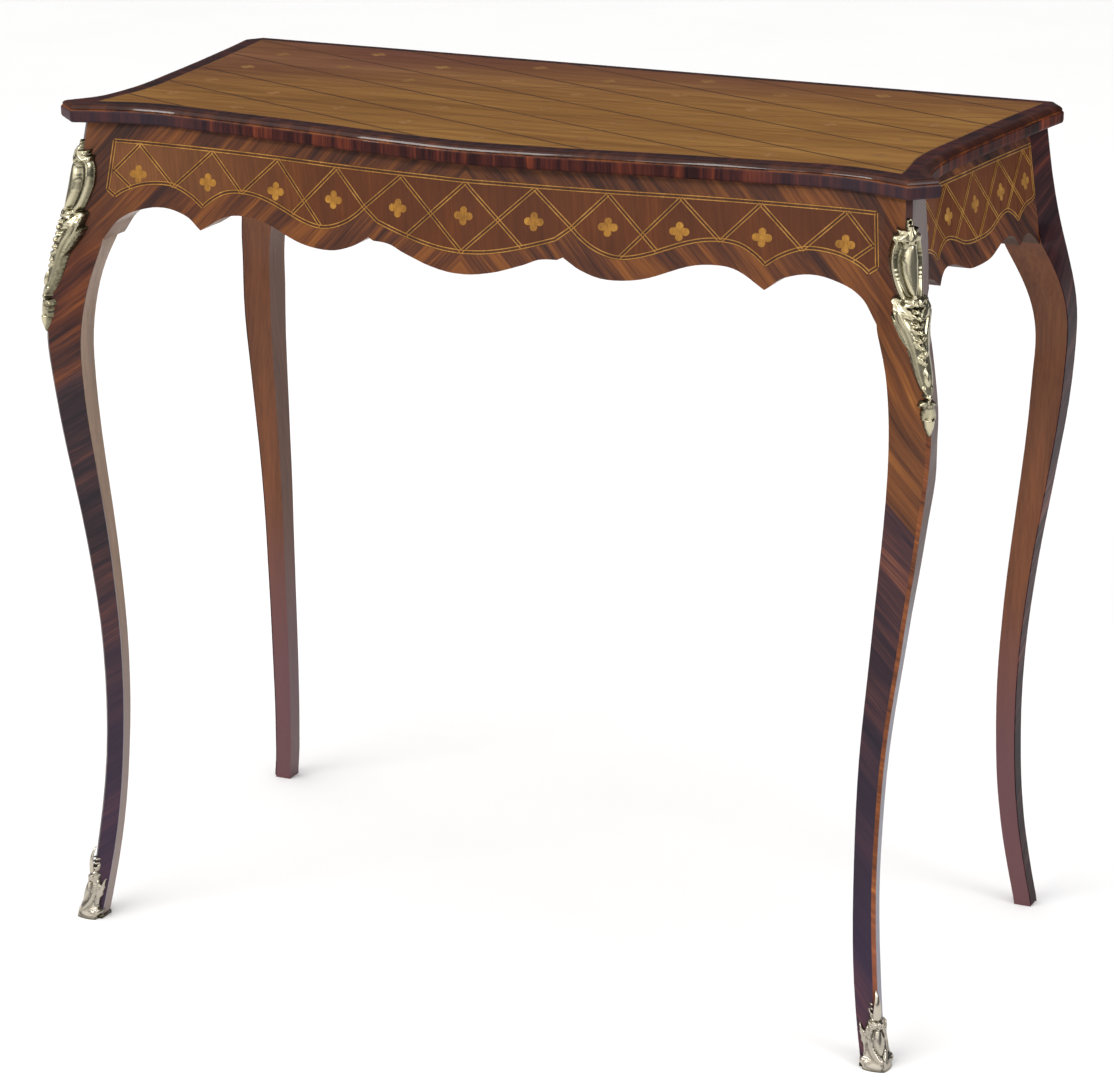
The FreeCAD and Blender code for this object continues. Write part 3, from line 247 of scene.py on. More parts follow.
def leg_veneer_wood(name, slope, lengths, warm_from, warm, dark, front_tints_and_painted_sheen=False, lively=1.75):
    """veneer laid in lengths down the leg, each with its own depth of colour; warm at the knee, dark below"""
    m = Mat(name)
    c, s = math.cos(slope), math.sin(slope)
    ax = m.math("ABSOLUTE", m.x)
    u = m.lincomb((1.0, ax), (-0.9, m.y))
    p = m.lincomb((s, u), (c, m.z))
    q = m.lincomb((c, u), (-s, m.z))
    r = m.mul(m.y, 2.0)
    # joints between the lengths run with the stripes
    up = m.math("MULTIPLY_ADD", p, 1.0 / (0.75 * c), -s * 0.535 / (0.75 * c), True)
    shift = m.ramp(up, [(z / 0.75, (0.5 + v, 0.5 + v, 0.5 + v)) for z, v in lengths])
    shift = m.math("SUBTRACT", shift, 0.5)
    low, f, n3 = striped(m, p, q, r, dark, wide=150.0, broad=24.0, contrast=1.2, shift=shift)
    knee, f2, n4 = striped(m, p, q, r, warm, wide=85.0, broad=34.0, contrast=lively)
    top, f3, n5 = apron_figure(m, T_BORDER)
    if front_tints_and_painted_sheen:
        low = m.mix(m.range(m.z, 0.36, 0.13, 0.0, 0.45), low, lin(54, 39, 64))
        dusk = m.math("MULTIPLY", m.range(m.z, 0.09, 0.16), m.range(m.z, 0.33, 0.24))
        low = m.mix(m.mul(dusk, 0.40), low, lin(34, 24, 36))
    col = m.mix(m.range(up, (warm_from - 0.003) / 0.75, (warm_from + 0.003) / 0.75), low, knee)
    if front_tints_and_painted_sheen:
        col = m.mix(m.range(m.z, 0.615, 0.672), col, top)
    if front_tints_and_painted_sheen:
        # the side of the leg, behind its corner: darker, with a painted grey sheen low down that stands for the pale
        # floor's reflection in the polish
        side = m.range(m.math("ABSOLUTE", m.facing_x()), 0.60, 0.80)
        dull = m.ramp(m.mul(m.z, 1.0 / 0.75), [(0.06, lin(146, 143, 154)), (0.22, lin(152, 149, 158)), (0.50, lin(128, 124, 130)), (0.58, lin(62, 32, 22)),
                                               (0.74, lin(58, 30, 22)), (0.86, lin(84, 62, 60)), (0.98, lin(60, 42, 40))])
        col = m.mix(m.mul(side, 0.85), col, dull)
    polish(m, m.range(f, 0.2, 0.8, 0.42, 0.32), 0.10, 0.12)
    m.bump(n3, 0.12, 0.0004)
    return m.set(Base_Color=col)


def top_wood(name):
    """golden field, grain along the table, redder towards the back left"""
    m = Mat(name)
    wob = m.noise(m.vec(m.mul(m.x, 2.0), m.mul(m.y, 5.0), 0.0), detail=2.0)
    p = m.add(m.y, m.mul(wob, 0.02))
    n0 = m.noise(m.vec(m.mul(m.x, 1.6), m.mul(p, 16.0), 1.0), detail=3.0, rough=0.55)
    n1 = m.noise(m.vec(m.mul(m.x, 5.0), m.mul(p, 90.0), 2.0), detail=4.0, rough=0.6)
    n2 = m.noise(m.vec(m.mul(m.x, 16.0), m.mul(p, 520.0), 3.0), detail=3.0, rough=0.6)
    f = m.lincomb((0.38, n0), (0.34, n1), (0.28, n2))
    f = m.math("MULTIPLY_ADD", m.math("SUBTRACT", f, 0.5), 2.8, 0.5)
    gold = m.ramp(f, tone([(0.08, lin(98, 62, 26)), (0.35, lin(122, 82, 36)), (0.6, lin(138, 97, 46)), (0.9, lin(160, 118, 60))], 0.88, 0.87, 0.76))
    red = m.ramp(f, tone([(0.08, lin(92, 52, 32)), (0.35, lin(112, 68, 42)), (0.6, lin(124, 80, 50)), (0.9, lin(142, 98, 62))], 0.54, 0.40, 0.62))
    back = m.range(m.lincomb((1.0, m.y), (-0.22, m.x)), -0.02, 0.22)
    cloud = m.noise(m.vec(m.mul(m.x, 3.0), m.mul(m.y, 6.0), 5.0), detail=3.0)
    w = m.math("MULTIPLY", back, m.range(cloud, 0.25, 0.7, 0.55, 1.0))
    col = m.mix(w, gold, red)
    pore = pores(m, p, m.x, 0.0, 1100.0, 28.0, 0.62, 0.74)
    col = m.mix(m.mul(pore, 0.45), col, lin(60, 34, 16))
    # dirt in the joints of the lattice, heavy one way and faint the other
    far = m.math("DIVIDE", m.math("SUBTRACT", m.y, 0.01693), 0.067)
    wide = m.math("DIVIDE", m.x, 0.167)
    patch = m.noise(m.vec(m.mul(m.x, 7.0), m.mul(m.y, 14.0), 8.0), detail=3.0, rough=0.6)
    for sg, deep in ((1.0, 0.85), (-1.0, 0.22)):
        ph = m.lincomb((1, far), (sg, wide))
        off = m.math("ABSOLUTE", m.math("SUBTRACT", ph, m.math("ROUND", ph)))
        w = m.math("MULTIPLY", m.range(off, 0.012, 0.034, deep, 0.0), m.range(patch, 0.30, 0.60, 0.45, 1.0))
        col = m.mix(w, col, lin(52, 28, 14))
    polish(m, m.range(f, 0.2, 0.8, 0.50, 0.40), 0.05, 0.20)
    m.bump(n2, 0.12, 0.0004)
    return m.set(Base_Color=col)


def panel_wood(name, shade=(0.49, 0.355, 0.205)):
    """reddish panel ground, fine upright grain"""
    m = Mat(name)
    h = m.add(m.x, m.y)
    wob = m.noise(m.vec(m.mul(h, 12.0), m.mul(m.z, 8.0), 0.0), detail=2.0)
    p = m.add(h, m.mul(wob, 0.006))
    n0 = m.noise(m.vec(m.mul(p, 22.0), m.mul(m.z, 9.0), 1.0), detail=3.0, rough=0.55)
    n1 = m.noise(m.vec(m.mul(p, 260.0), m.mul(m.z, 14.0), 2.0), detail=3.0, rough=0.6)
    n2 = m.noise(m.vec(m.mul(p, 900.0), m.mul(m.z, 40.0), 3.0), detail=2.0, rough=0.6)
    f = m.lincomb((0.44, n0), (0.33, n1), (0.23, n2))
    f = m.math("MULTIPLY_ADD", m.math("SUBTRACT", f, 0.5), 2.1, 0.5)
    col = m.ramp(f, tone([(0.05, lin(72, 40, 24)), (0.35, lin(98, 58, 34)), (0.6, lin(112, 68, 40)), (0.92, lin(138, 90, 54))], *shade))
    fair = m.ramp(f, tone([(0.05, lin(72, 40, 24)), (0.35, lin(98, 58, 34)), (0.6, lin(112, 68, 40)), (0.92, lin(138, 90, 54))], 0.82, 0.83, 0.68))
    col = m.mix(m.math("MULTIPLY", m.range(m.x, -0.10, -0.34), m.range(m.x, -0.372, -0.366)), col, fair)
    polish(m, m.range(f, 0.2, 0.8, 0.48, 0.38), 0.05, 0.18)
    m.bump(n2, 0.10, 0.0003)
    return m.set(Base_Color=col)


def cross_wood(name, along, palette, wide=150.0, coat=0.6, coat_rough=0.07, shift=None, contrast=1.15, roll=None):
    """dark cross-grained wood: stripes square to the edge it runs along; roll is the colour of a rounded lip above it"""
    m = Mat(name)
    if along == "x":
        p, q = m.x, m.add(m.y, m.z)
    elif along == "y":
        p, q = m.y, m.add(m.x, m.z)
    else:
        p, q = m.lincomb((0.7, m.x), (0.7, m.y)), m.lincomb((0.7, m.x), (-0.7, m.y), (1.0, m.z))
    col, f, n3 = striped(m, p, q, 0.0, palette, wide=wide, broad=22.0, contrast=contrast, shift=shift)
    polish(m, m.range(f, 0.2, 0.8, 0.48, 0.38), coat, coat_rough)
    if roll is not None and along != "y":
        # the ends of the long edges have darkened
        col = m.mix(m.range(m.math("ABSOLUTE", m.x), 0.20, 0.34, 0.0, 0.62), col, lin(50, 43, 50))
    if roll is not None:
        lip = m.range(m.z, 0.7550, 0.7556)
        soft = m.noise(m.vec(m.mul(p, 60.0), m.mul(p, 7.0), 4.0), detail=4.0, rough=0.6)
        col = m.mix(lip, col, m.ramp(soft, roll))
        # a thin orange-brown line along the foot of the lip: partly wear on the edge, partly a painted reflection in
        # the fillet
        wear_and_sheen = m.math("MULTIPLY", m.range(m.z, 0.7546, 0.7549), m.range(m.z, 0.7563, 0.7559))
        col = m.mix(m.math("MULTIPLY", wear_and_sheen, m.range(soft, 0.35, 0.65, 0.1, 0.8)), col, lin(118, 66, 30))
        m.put(m.b.inputs["Coat Weight"], m.range(m.z, 0.7540, 0.7556, 0.03, coat))
        m.put(m.b.inputs["Roughness"], m.range(m.z, 0.7540, 0.7556, 0.46, 0.38))
        m.b.inputs["Coat IOR"].default_value = 1.45
    m.bump(n3, 0.10, 0.0003)
    return m.set(Base_Color=col)


def arris_wood(name, gold, dark, wear_and_sheen):
    """strip down the corner of the front legs: golden on the right leg, dark on the left; under the top a dull dark
    reddish-brown is painted in for the grey sheen of the polish
    """
    m = Mat(name)
    p = m.lincomb((0.7, m.math("ABSOLUTE", m.x)), (0.3, m.y), (1.0, m.z))
    a, f, n3 = striped(m, p, m.x, 0.0, gold, wide=210.0, broad=40.0, contrast=1.3)
    b, f2, n4 = striped(m, p, m.x, 0.0, dark, wide=150.0, broad=24.0)
    a = m.mix(m.range(m.z, 0.20, 0.06, 0.0, 0.6), a, lin(146, 86, 64))
    col = m.mix(m.range(m.x, -0.1, 0.1), b, a)
    # painted sheen: towards the top the strip runs into the dull dark reddish-brown given as the last argument
    col = m.mix(m.range(m.z, 0.56, 0.66), col, wear_and_sheen)
    polish(m, m.range(f, 0.2, 0.8, 0.42, 0.32), 0.08, 0.14)
    m.bump(n3, 0.10, 0.0003)
    return m.set(Base_Color=col)


def plain_wood(name, dark, light, coat=0.3, rough=0.38, painted_low_sheen=None):
    """straight-grained leg wood, grain up the leg"""
    m = Mat(name)
    n0 = m.noise(m.vec(m.mul(m.x, 45.0), m.mul(m.y, 45.0), m.mul(m.z, 2.6)), detail=3.0, rough=0.55)
    n1 = m.noise(m.vec(m.mul(m.x, 320.0), m.mul(m.y, 320.0), m.mul(m.z, 9.0)), detail=3.0, rough=0.6)
    n2 = m.noise(m.vec(m.mul(m.x, 1100.0), m.mul(m.y, 1100.0), m.mul(m.z, 30.0)), detail=2.0)
    f = m.lincomb((0.45, n0), (0.33, n1), (0.22, n2))
    f = m.math("MULTIPLY_ADD", m.math("SUBTRACT", f, 0.5), 2.0, 0.5)
    mid = tuple((a + b) / 2 for a, b in zip(dark, light))
    col = m.ramp(f, [(0.08, dark), (0.5, mid), (0.92, light)])
    # painted sheen: low down the leg the colour runs into the greyish tint given here, standing for the pale floor's
    # reflection in the polish
    if painted_low_sheen is not None:
        haze = m.noise(m.vec(m.mul(m.x, 9.0), m.mul(m.y, 9.0), m.mul(m.z, 5.0)), detail=2.0)
        col = m.mix(m.range(m.add(m.z, m.math("MULTIPLY_ADD", haze, 0.16, -0.08)), 0.34, 0.14, 0.0, 0.85), col, painted_low_sheen)
    polish(m, m.range(f, 0.2, 0.8, rough + 0.05, rough - 0.05), coat, 0.14)
    m.bump(n2, 0.10, 0.0003)
    return m.set(Base_Color=col)


def raw_wood(name):
    """unpolished secondary wood inside the frame and under the top"""
    m = Mat(name)
    n0 = m.noise(m.vec(m.mul(m.x, 3.0), m.mul(m.y, 40.0), m.mul(m.z, 40.0)), detail=4.0, rough=0.6)
    n1 = m.noise(m.vec(m.mul(m.x, 14.0), m.mul(m.y, 420.0), m.mul(m.z, 420.0)), detail=3.0, rough=0.6)
    n2 = m.noise(m.vec(m.mul(m.x, 900.0), m.mul(m.y, 30.0), m.mul(m.z, 30.0)), detail=2.0)
    f = m.lincomb((0.5, n0), (0.36, n1), (0.14, n2))
    f = m.math("MULTIPLY_ADD", m.math("SUBTRACT", f, 0.5), 1.9, 0.5)
    col = m.ramp(f, [(0.08, lin(60, 43, 31)), (0.4, lin(88, 67, 48)), (0.65, lin(106, 83, 62)), (0.94, lin(128, 103, 78))])
    m.put(m.b.inputs["Roughness"], m.range(f, 0.2, 0.8, 0.72, 0.6))
    m.bump(n1, 0.25, 0.0006)
    return m.set(Base_Color=col)


def box_wood(name, dark, mid, light, coat=0.12):
    """pale inlay"""
    m = Mat(name)
    n0 = m.noise(m.vec(m.mul(m.x, 60.0), m.mul(m.y, 60.0), m.mul(m.z, 60.0)), detail=3.0, rough=0.6)
    n1 = m.noise(m.vec(m.mul(m.x, 700.0), m.mul(m.y, 260.0), m.mul(m.z, 260.0)), detail=3.0, rough=0.6)
    f = m.lincomb((0.6, n0), (0.4, n1))
    f = m.math("MULTIPLY_ADD", m.math("SUBTRACT", f, 0.5), 2.2, 0.5)
    col = m.ramp(f, [(0.08, dark), (0.5, mid), (0.92, light)])
    polish(m, m.range(f, 0.2, 0.8, 0.46, 0.36), coat, 0.16)
    m.bump(n1, 0.08, 0.0003)
    return m.set(Base_Color=col)


def lattice_wood(name, dark, faint):
    """lines between the diamonds of the top: one way of the lattice is dark, the other hardly shows"""
    m = Mat(name)
    ph = m.add(m.math("DIVIDE", m.x, 0.167), m.math("DIVIDE", m.math("SUBTRACT", m.y, 0.01693), 0.067))
    off = m.math("ABSOLUTE", m.math("SUBTRACT", ph, m.math("ROUND", ph)))
    n = m.noise(m.vec(m.mul(m.x, 30.0), m.mul(m.y, 60.0), 0.0), detail=3.0, rough=0.6)
    w = m.math("MULTIPLY", m.range(off, 0.016, 0.030, 1.0, 0.0), m.range(n, 0.30, 0.55, 0.55, 1.0))
    col = m.mix(w, faint, dark)
    polish(m, m.range(n, 0.2, 0.8, 0.5, 0.4), 0.08, 0.2)
    return m.set(Base_Color=col)


def gilt(name, cool=1.0):
    """pale gilt bronze: bright on the high parts, dull and darker in the hollows; the darkening is painted shade from
    an ambient-occlusion term, with the patina laid over it
    """
    m = Mat(name)
    ao = m.t.nodes.new("ShaderNodeAmbientOcclusion")
    ao.samples = 8
    ao.inputs["Distance"].default_value = 0.004
    wear_and_sheen = m.noise(m.co, 260.0, 4.0, 0.6)
    fine = m.noise(m.co, 2200.0, 2.0, 0.5)
    # painted shade: the occlusion term darkens the colour in the hollows and creases
    f = m.add(ao.outputs["AO"], m.math("MULTIPLY_ADD", wear_and_sheen, 0.35, -0.175))
    col = m.ramp(f, tone([(0.28, lin(40, 36, 24)), (0.52, lin(82, 76, 54)), (0.74, lin(134, 127, 101)), (0.97, lin(186, 178, 150))], 1.0, 1.0, cool))
    low = m.t.nodes.new("ShaderNodeAttribute")
    low.attribute_name = "patina"
    col = m.mix(m.math("MULTIPLY", low.outputs["Fac"], m.range(wear_and_sheen, 0.3, 0.7, 0.85, 0.65)), col, lin(64, 60, 44))
    m.put(m.b.inputs["Roughness"], m.range(m.add(f, m.math("MULTIPLY_ADD", fine, 0.2, -0.1)), 0.3, 0.95, 0.40, 0.20))
    m.b.inputs["Metallic"].default_value = 1.0
    m.bump(m.lincomb((0.7, wear_and_sheen), (0.3, fine)), 0.10, 0.0004)
    return m.set(Base_Color=col)


def steel(name):
    m = Mat(name)
    n = m.noise(m.vec(m.mul(m.x, 900.0), m.mul(m.y, 900.0), m.mul(m.z, 120.0)), detail=3.0)
    col = m.ramp(n, [(0.3, lin(98, 94, 90)), (0.7, lin(150, 146, 140))])
    m.put(m.b.inputs["Roughness"], m.range(n, 0.3, 0.7, 0.5, 0.34))
    m.b.inputs["Metallic"].default_value = 1.0
    m.bump(n, 0.1, 0.0002)
    return m.set(Base_Color=col)


def wear(node, mat):
    ob = NODES[node]
    ob.data.materials.clear()
    ob.data.materials.append(mat)


T_BORDER = tone(KING[:4] + [(0.96, lin(156, 104, 54))], 0.58, 0.48, 0.40)
T_SIDE = tone(KING, 0.66, 0.48, 0.38)
T_ROLL = [(0.25, lin(34, 15, 12)), (0.5, lin(52, 24, 16)), (0.75, lin(82, 43, 25))]
T_EDGE = tone(KING_DARK, 0.82, 0.52, 0.46)
T_EDGE_Y = tone(KING_DARK, 0.84, 0.48, 0.40)
T_BAND = tone(KING_DARK, 0.50, 0.28, 0.28)
FR_LENGTHS = [(0.0, 0.14), (0.08, 0.12), (0.10, -0.10), (0.136, -0.14), (0.14, -0.06), (0.17, -0.06), (0.174, 0.05), (0.206, 0.02), (0.21, -0.16), (0.234, -0.14),
              (0.238, 0.04), (0.263, 0.02), (0.267, -0.22), (0.284, -0.20), (0.288, 0.10), (0.335, 0.13), (0.339, -0.08), (0.365, -0.03), (0.40, 0.0),
              (0.44, 0.02), (0.50, 0.06), (0.75, 0.06)]
FL_LENGTHS = [(0.0, -0.16), (0.10, -0.12), (0.128, -0.06), (0.132, -0.26), (0.178, -0.24), (0.182, 0.10), (0.21, 0.12), (0.214, 0.06), (0.28, 0.14),
              (0.346, 0.08), (0.35, -0.10), (0.42, -0.18), (0.46, -0.22), (0.51, -0.14), (0.52, 0.0), (0.75, 0.06)]
B_LENGTHS = [(0.0, -0.2), (0.08, -0.1), (0.15, 0.1), (0.2, -0.2), (0.45, -0.16), (0.6, -0.05), (0.75, 0.0)]

M_TOP = top_wood("top_field")
M_LATTICE = lattice_wood("lattice_line", lin(58, 34, 18), lin(100, 66, 32))
M_LINE = box_wood("dark_stringing", lin(40, 19, 9), lin(62, 32, 14), lin(86, 48, 22))
M_FOIL_T = box_wood("top_foil_inlay", lin(108, 73, 34), lin(128, 89, 43), lin(150, 111, 62))
M_FAINT = box_wood("pale_top_inlay", lin(96, 62, 28), lin(110, 74, 34), lin(130, 92, 48))
M_FOIL = box_wood("pale_inlay", lin(104, 68, 19), lin(140, 96, 33), lin(172, 128, 54))
M_PALE = box_wood("pale_stringing", lin(113, 73, 26), lin(145, 100, 41), lin(175, 132, 66))
M_LINE_Y = dull(box_wood("dark_stringing_side", lin(44, 21, 10), lin(68, 35, 16), lin(92, 52, 24)), 1.15)
M_FOIL_Y = dull(box_wood("pale_inlay_side", lin(112, 74, 20), lin(150, 104, 36), lin(182, 136, 58)), 1.15)
M_PALE_Y = dull(box_wood("pale_stringing_side", lin(124, 82, 30), lin(158, 110, 46), lin(190, 144, 72)), 1.15)
M_BAND_X = cross_wood("crossband_long", "x", T_BAND, 130.0, 0.06, 0.14)
M_BAND_Y = cross_wood("crossband_side", "y", tone(T_BAND, 1.15, 1.05, 0.95), 130.0, 0.06, 0.14)
M_EDGE_X = dull(cross_wood("edge_long", "x", T_EDGE, 120.0, 0.40, 0.045, None, 1.5, T_ROLL), 1.2)
M_EDGE_Y = dull(cross_wood("edge_side", "y", T_EDGE_Y, 120.0, 0.32, 0.045, None, 1.5, T_ROLL), 1.15)
M_EDGE_C = dull(cross_wood("edge_corner", "d", T_EDGE, 120.0, 0.40, 0.045, None, 1.5, T_ROLL), 1.2)
M_BORDER_X = border_wood("border_front", "x")
M_BORDER_Y = dull(border_wood("border_side", "y"), 1.15)
M_PANEL = panel_wood("panel_ground")
M_PANEL_Y = dull(panel_wood("panel_ground_side", (0.74, 0.54, 0.30)), 1.15)
M_LEG_FR = leg_veneer_wood("leg_veneer_right", math.radians(48), FR_LENGTHS, 0.505, tone(KING_GOLD, 0.60, 0.52, 0.44), tone(KING_DARK, 0.66, 0.64, 0.90), True)
M_LEG_FL = leg_veneer_wood("leg_veneer_left", math.radians(34), FL_LENGTHS, 0.53, tone(KING, 0.54, 0.40, 0.42), tone(KING_DARK, 0.66, 0.62, 0.74), True, 1.25)
M_LEG_B = dull(leg_veneer_wood("leg_veneer_back", math.radians(40), B_LENGTHS, 2.0, KING, tone(KING_DARK, 1.15, 0.80, 0.80)), 1.15)
M_ARRIS = arris_wood("arris_strip", tone(KING_GOLD, 0.86, 0.66, 0.60), tone(KING_DARK, 0.60, 0.55, 0.60), lin(72, 48, 46))
# the last colour of each of these two leg woods is the greyish tint painted low down as sheen
M_LEG = plain_wood("leg_wood", lin(62, 29, 13), lin(114, 65, 33), 0.35, 0.40, lin(92, 60, 66))
M_LEG_IN = plain_wood("front_leg_wood", lin(98, 71, 52), lin(148, 118, 92), 0.8, 0.36, lin(130, 110, 104))
M_RAIL = plain_wood("rail_wood", lin(88, 64, 48), lin(134, 106, 84), 0.3, 0.42)
M_RAIL_S = dull(plain_wood("side_rail_wood", lin(60, 44, 38), lin(92, 73, 65), 0.05, 0.55), 1.2)
M_RAW = raw_wood("carcass_wood")
M_BACK = plain_wood("back_rail_wood", lin(66, 50, 42), lin(104, 84, 72), 0.05, 0.5)
M_GILT = gilt("gilt_bronze")
M_FOOT = gilt("foot_bronze", 1.22)
M_STEEL = steel("screw_steel")

for n in ("front_rail", "left_rail", "right_rail"):
    wear(n, M_RAIL if n == "front_rail" else M_RAIL_S)
wear("back_rail", M_BACK)
for n in ("top_board", "rail_block_front", "rail_block_back", "tenon_pegs",
          "corner_block_front_right", "corner_block_front_left", "corner_block_back_right", "corner_block_back_left"):
    wear(n, M_RAW)
wear("top_field_parquetry", M_TOP)
wear("top_lattice_stringing", M_LATTICE)
wear("top_quatrefoil_inlays", M_FOIL_T)
wear("top_light_line", M_FAINT)
wear("top_crossband_front", M_BAND_X)
wear("top_crossband_back", M_BAND_X)
wear("top_crossband_left", M_BAND_Y)
wear("top_crossband_right", M_BAND_Y)
wear("top_edge_front", M_EDGE_X)
wear("top_edge_back", M_EDGE_X)
wear("top_edge_left", M_EDGE_Y)
wear("top_edge_right", M_EDGE_Y)
wear("top_edge_corner_pieces", M_EDGE_C)
wear("front_panel_veneer", M_PANEL)
wear("front_border_veneer", M_BORDER_X)
wear("front_stringing", M_LINE)
wear("front_quatrefoils", M_FOIL)
for s in ("left", "right"):
    wear(s + "_panel_veneer", M_PANEL_Y)
    wear(s + "_border_veneer", M_BORDER_Y)
    wear(s + "_stringing", M_LINE_Y)
    wear(s + "_quatrefoils", M_FOIL_Y)
    wear("leg_front_" + s, M_LEG_IN)
    wear("leg_back_" + s, M_LEG)
    wear("leg_veneer_back_" + s, M_LEG_B)
    wear("chute_front_" + s, M_GILT)
    wear("sabot_front_" + s, M_FOOT)
wear("leg_veneer_front_right", M_LEG_FR)
wear("leg_veneer_front_left", M_LEG_FL)
wear("leg_arris_strips", M_ARRIS)
wear("chute_pins", M_GILT)
wear("sabot_pins", M_GILT)
wear("top_fixing_screws", M_STEEL)


# ---------------------------------------------------------------- pale lines of the apron stringing
def tree(*names):
    verts, polys, base = [], [], 0
    for n in names:
        me = NODES[n].data
        verts += [v.co.copy() for v in me.vertices]
        polys += [[base + i for i in p.vertices] for p in me.polygons]
        base = len(verts)
    return BVHTree.FromPolygons(verts, polys)


def mesh_object(name, verts, faces, mats, smooth_faces=True, index=None):
    me = bpy.data.meshes.new(name)
    me.from_pydata([tuple(v) for v in verts], [], faces)
    for m in mats:
        me.materials.append(m)
    if index is not None:
        for p, i in zip(me.polygons, index):
            p.material_index = i
    if smooth_faces:
        for p in me.polygons:
            p.use_smooth = True
    me.update()
    ob = bpy.data.objects.new(name, me)
    scene.collection.objects.link(ob)
    return ob


def resample(points, step):
    out = [np.array(points[0], float)]
    for a, b in zip(points[:-1], points[1:]):
        a, b = np.array(a, float), np.array(b, float)
        k = max(1, int(math.ceil(np.linalg.norm(b - a) / step)))
        for i in range(1, k + 1):
            out.append(a + (b - a) * i / k)
    return np.array(out)


def catmull(points, per=6):
    """smooth path through the points"""
    p = [np.array(q, float) for q in points]
    p = [2 * p[0] - p[1]] + p + [2 * p[-1] - p[-2]]
    out = []
    for i in range(1, len(p) - 2):
        for k in range(per):
            t = k / per
            out.append(0.5 * ((2 * p[i]) + (p[i + 1] - p[i - 1]) * t + (2 * p[i - 1] - 5 * p[i] + 4 * p[i + 1] - p[i + 2]) * t * t
                              + (3 * p[i] - p[i - 1] - 3 * p[i + 1] + p[i + 2]) * t ** 3))
    out.append(p[-2])
    return np.array(out)


def even(pts, step):
    """points at an even distance along a path"""
    d = np.concatenate([[0], np.cumsum(np.linalg.norm(np.diff(pts, axis=0), axis=1))])
    n = max(2, int(round(d[-1] / step)))
    u = np.linspace(0, d[-1], n + 1)
    return np.stack([np.interp(u, d, pts[:, k]) for k in range(2)], 1)


def offset_path(pts, d):
    t = np.gradient(pts, axis=0)
    t /= np.linalg.norm(t, axis=1)[:, None]
    return pts + np.stack([-t[:, 1], t[:, 0]], 1) * d


def pale_lines(name, paths, place, width=3.4, line=0.80, proud=0.00012, mat=M_PALE):
    """two pale strips on each stringing band, one at either edge; closed thin ribbons let into the band"""
    verts, faces = [], []
    k = 0
    for path in paths:
        for side in (-1, 1):
            mid = offset_path(path, side * (width - line) / 2)
            a, b = offset_path(mid, line / 2), offset_path(mid, -line / 2)
            lift = proud + 0.000012 * (k % 9)
            k += 1
            rows = []
            for pa, pb in zip(a, b):
                A, B = place(pa[0], pa[1]), place(pb[0], pb[1])
                if A is None or B is None:
                    continue
                rows.append((A, B))
            if len(rows) < 2:
                continue
            base = len(verts)
            for (pa, na), (pb, nb) in rows:
                verts += [pa + na * lift, pb + nb * lift, pb - nb * 0.0006, pa - na * 0.0006]
            for i in range(len(rows) - 1):
                o = base + 4 * i
                for j in range(4):
                    faces.append([o + j, o + (j + 1) % 4, o + 4 + (j + 1) % 4, o + 4 + j])
            faces.append([base + 3, base + 2, base + 1, base])
            o = base + 4 * (len(rows) - 1)
            faces.append([o, o + 1, o + 2, o + 3])
    ob = mesh_object(name, verts, faces, [mat], False)
    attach(ob, "root")
    return ob


F_TREE = tree("front_panel_veneer", "front_border_veneer", "front_stringing", "front_quatrefoils", "front_rail")


def on_front(x, z):
    hit, nor, _, _ = F_TREE.ray_cast(Vector((x / 1000, -0.4, z / 1000)), Vector((0, 1, 0)))
    if hit is None:
        return None
    if nor.y > 0:
        nor = -nor
    return hit, nor


F_PATHS = [[(353.5, 680.0), (345, 685.5), (330, 691.2), (315, 694), (300, 694.4), (288, 691.5), (275, 685.5), (264, 678.2)],
           [(264, 678.2), (254, 686), (242, 692.2), (228, 694.6), (212, 694), (196, 690.5), (180, 685), (164, 679.2),
            (150, 675.6), (138, 674.8), (126, 677.2), (114, 682.5), (104, 689.5), (97, 696)],
           [(83, 685.6), (70, 681.5), (55, 677.2), (38, 673), (20, 670), (0, 668.8)]]
F_LINES = [((331, 726), (355.5, 701.5)), ((355.5, 701.5), (338, 688)), ((331, 726), (294.5, 692.5)),
           ((294.5, 692.5), (256.8, 726)), ((256.8, 726), (224.5, 693.8)), ((224.5, 693.8), (188.7, 726)),
           ((188.7, 726), (140, 675)), ((127, 725.5), (171, 682)), ((127, 725.5), (97, 696)), ((97, 696), (62.5, 725.5)),
           ((62.5, 725.5), (0, 669)), ((0, 725.8), (54, 677)), ((97, 696), (83, 685.6)), ((356, 727.4), (360.6, 685)),
           ((360.6, 685), (353.5, 680))]
front = [resample([(-356, 727.4), (356, 727.4)], 1.5)]
for a, b in F_LINES:
    front.append(resample([a, b], 1.5))
    front.append(resample([(-a[0], a[1]), (-b[0], b[1])], 1.5))
for p in F_PATHS:
    front.append(even(catmull(p, 12), 1.5))
    front.append(even(catmull([(-q[0], q[1]) for q in p], 12), 1.5))
pale_lines("front_stringing_pale_lines", front, on_front)

def side_lobes(name, centres, place, reach, r, ring=20):
    """the two outer lobes of each quatrefoil, thin closed discs let into the veneer"""
    verts, faces = [], []
    for cx, cz in centres:
        for sg in (-1, 1):
            top, low = [], []
            for k in range(ring):
                a = 2 * math.pi * k / ring
                hit = place(cx + sg * reach + r * math.cos(a), cz + r * math.sin(a))
                if hit is None:
                    continue
                top.append(hit[0] + hit[1] * 0.00009)
                low.append(hit[0] - hit[1] * 0.0005)
            n = len(top)
            if n < ring:
                continue
            base = len(verts)
            verts += top + low
            faces.append([base + k for k in range(n)])
            faces.append([base + n + k for k in reversed(range(n))])
            faces += [[base + k, base + n + k, base + n + (k + 1) % n, base + (k + 1) % n] for k in range(n)]
    ob = mesh_object(name, verts, faces, [M_FOIL], False)
    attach(ob, "root")
    return ob


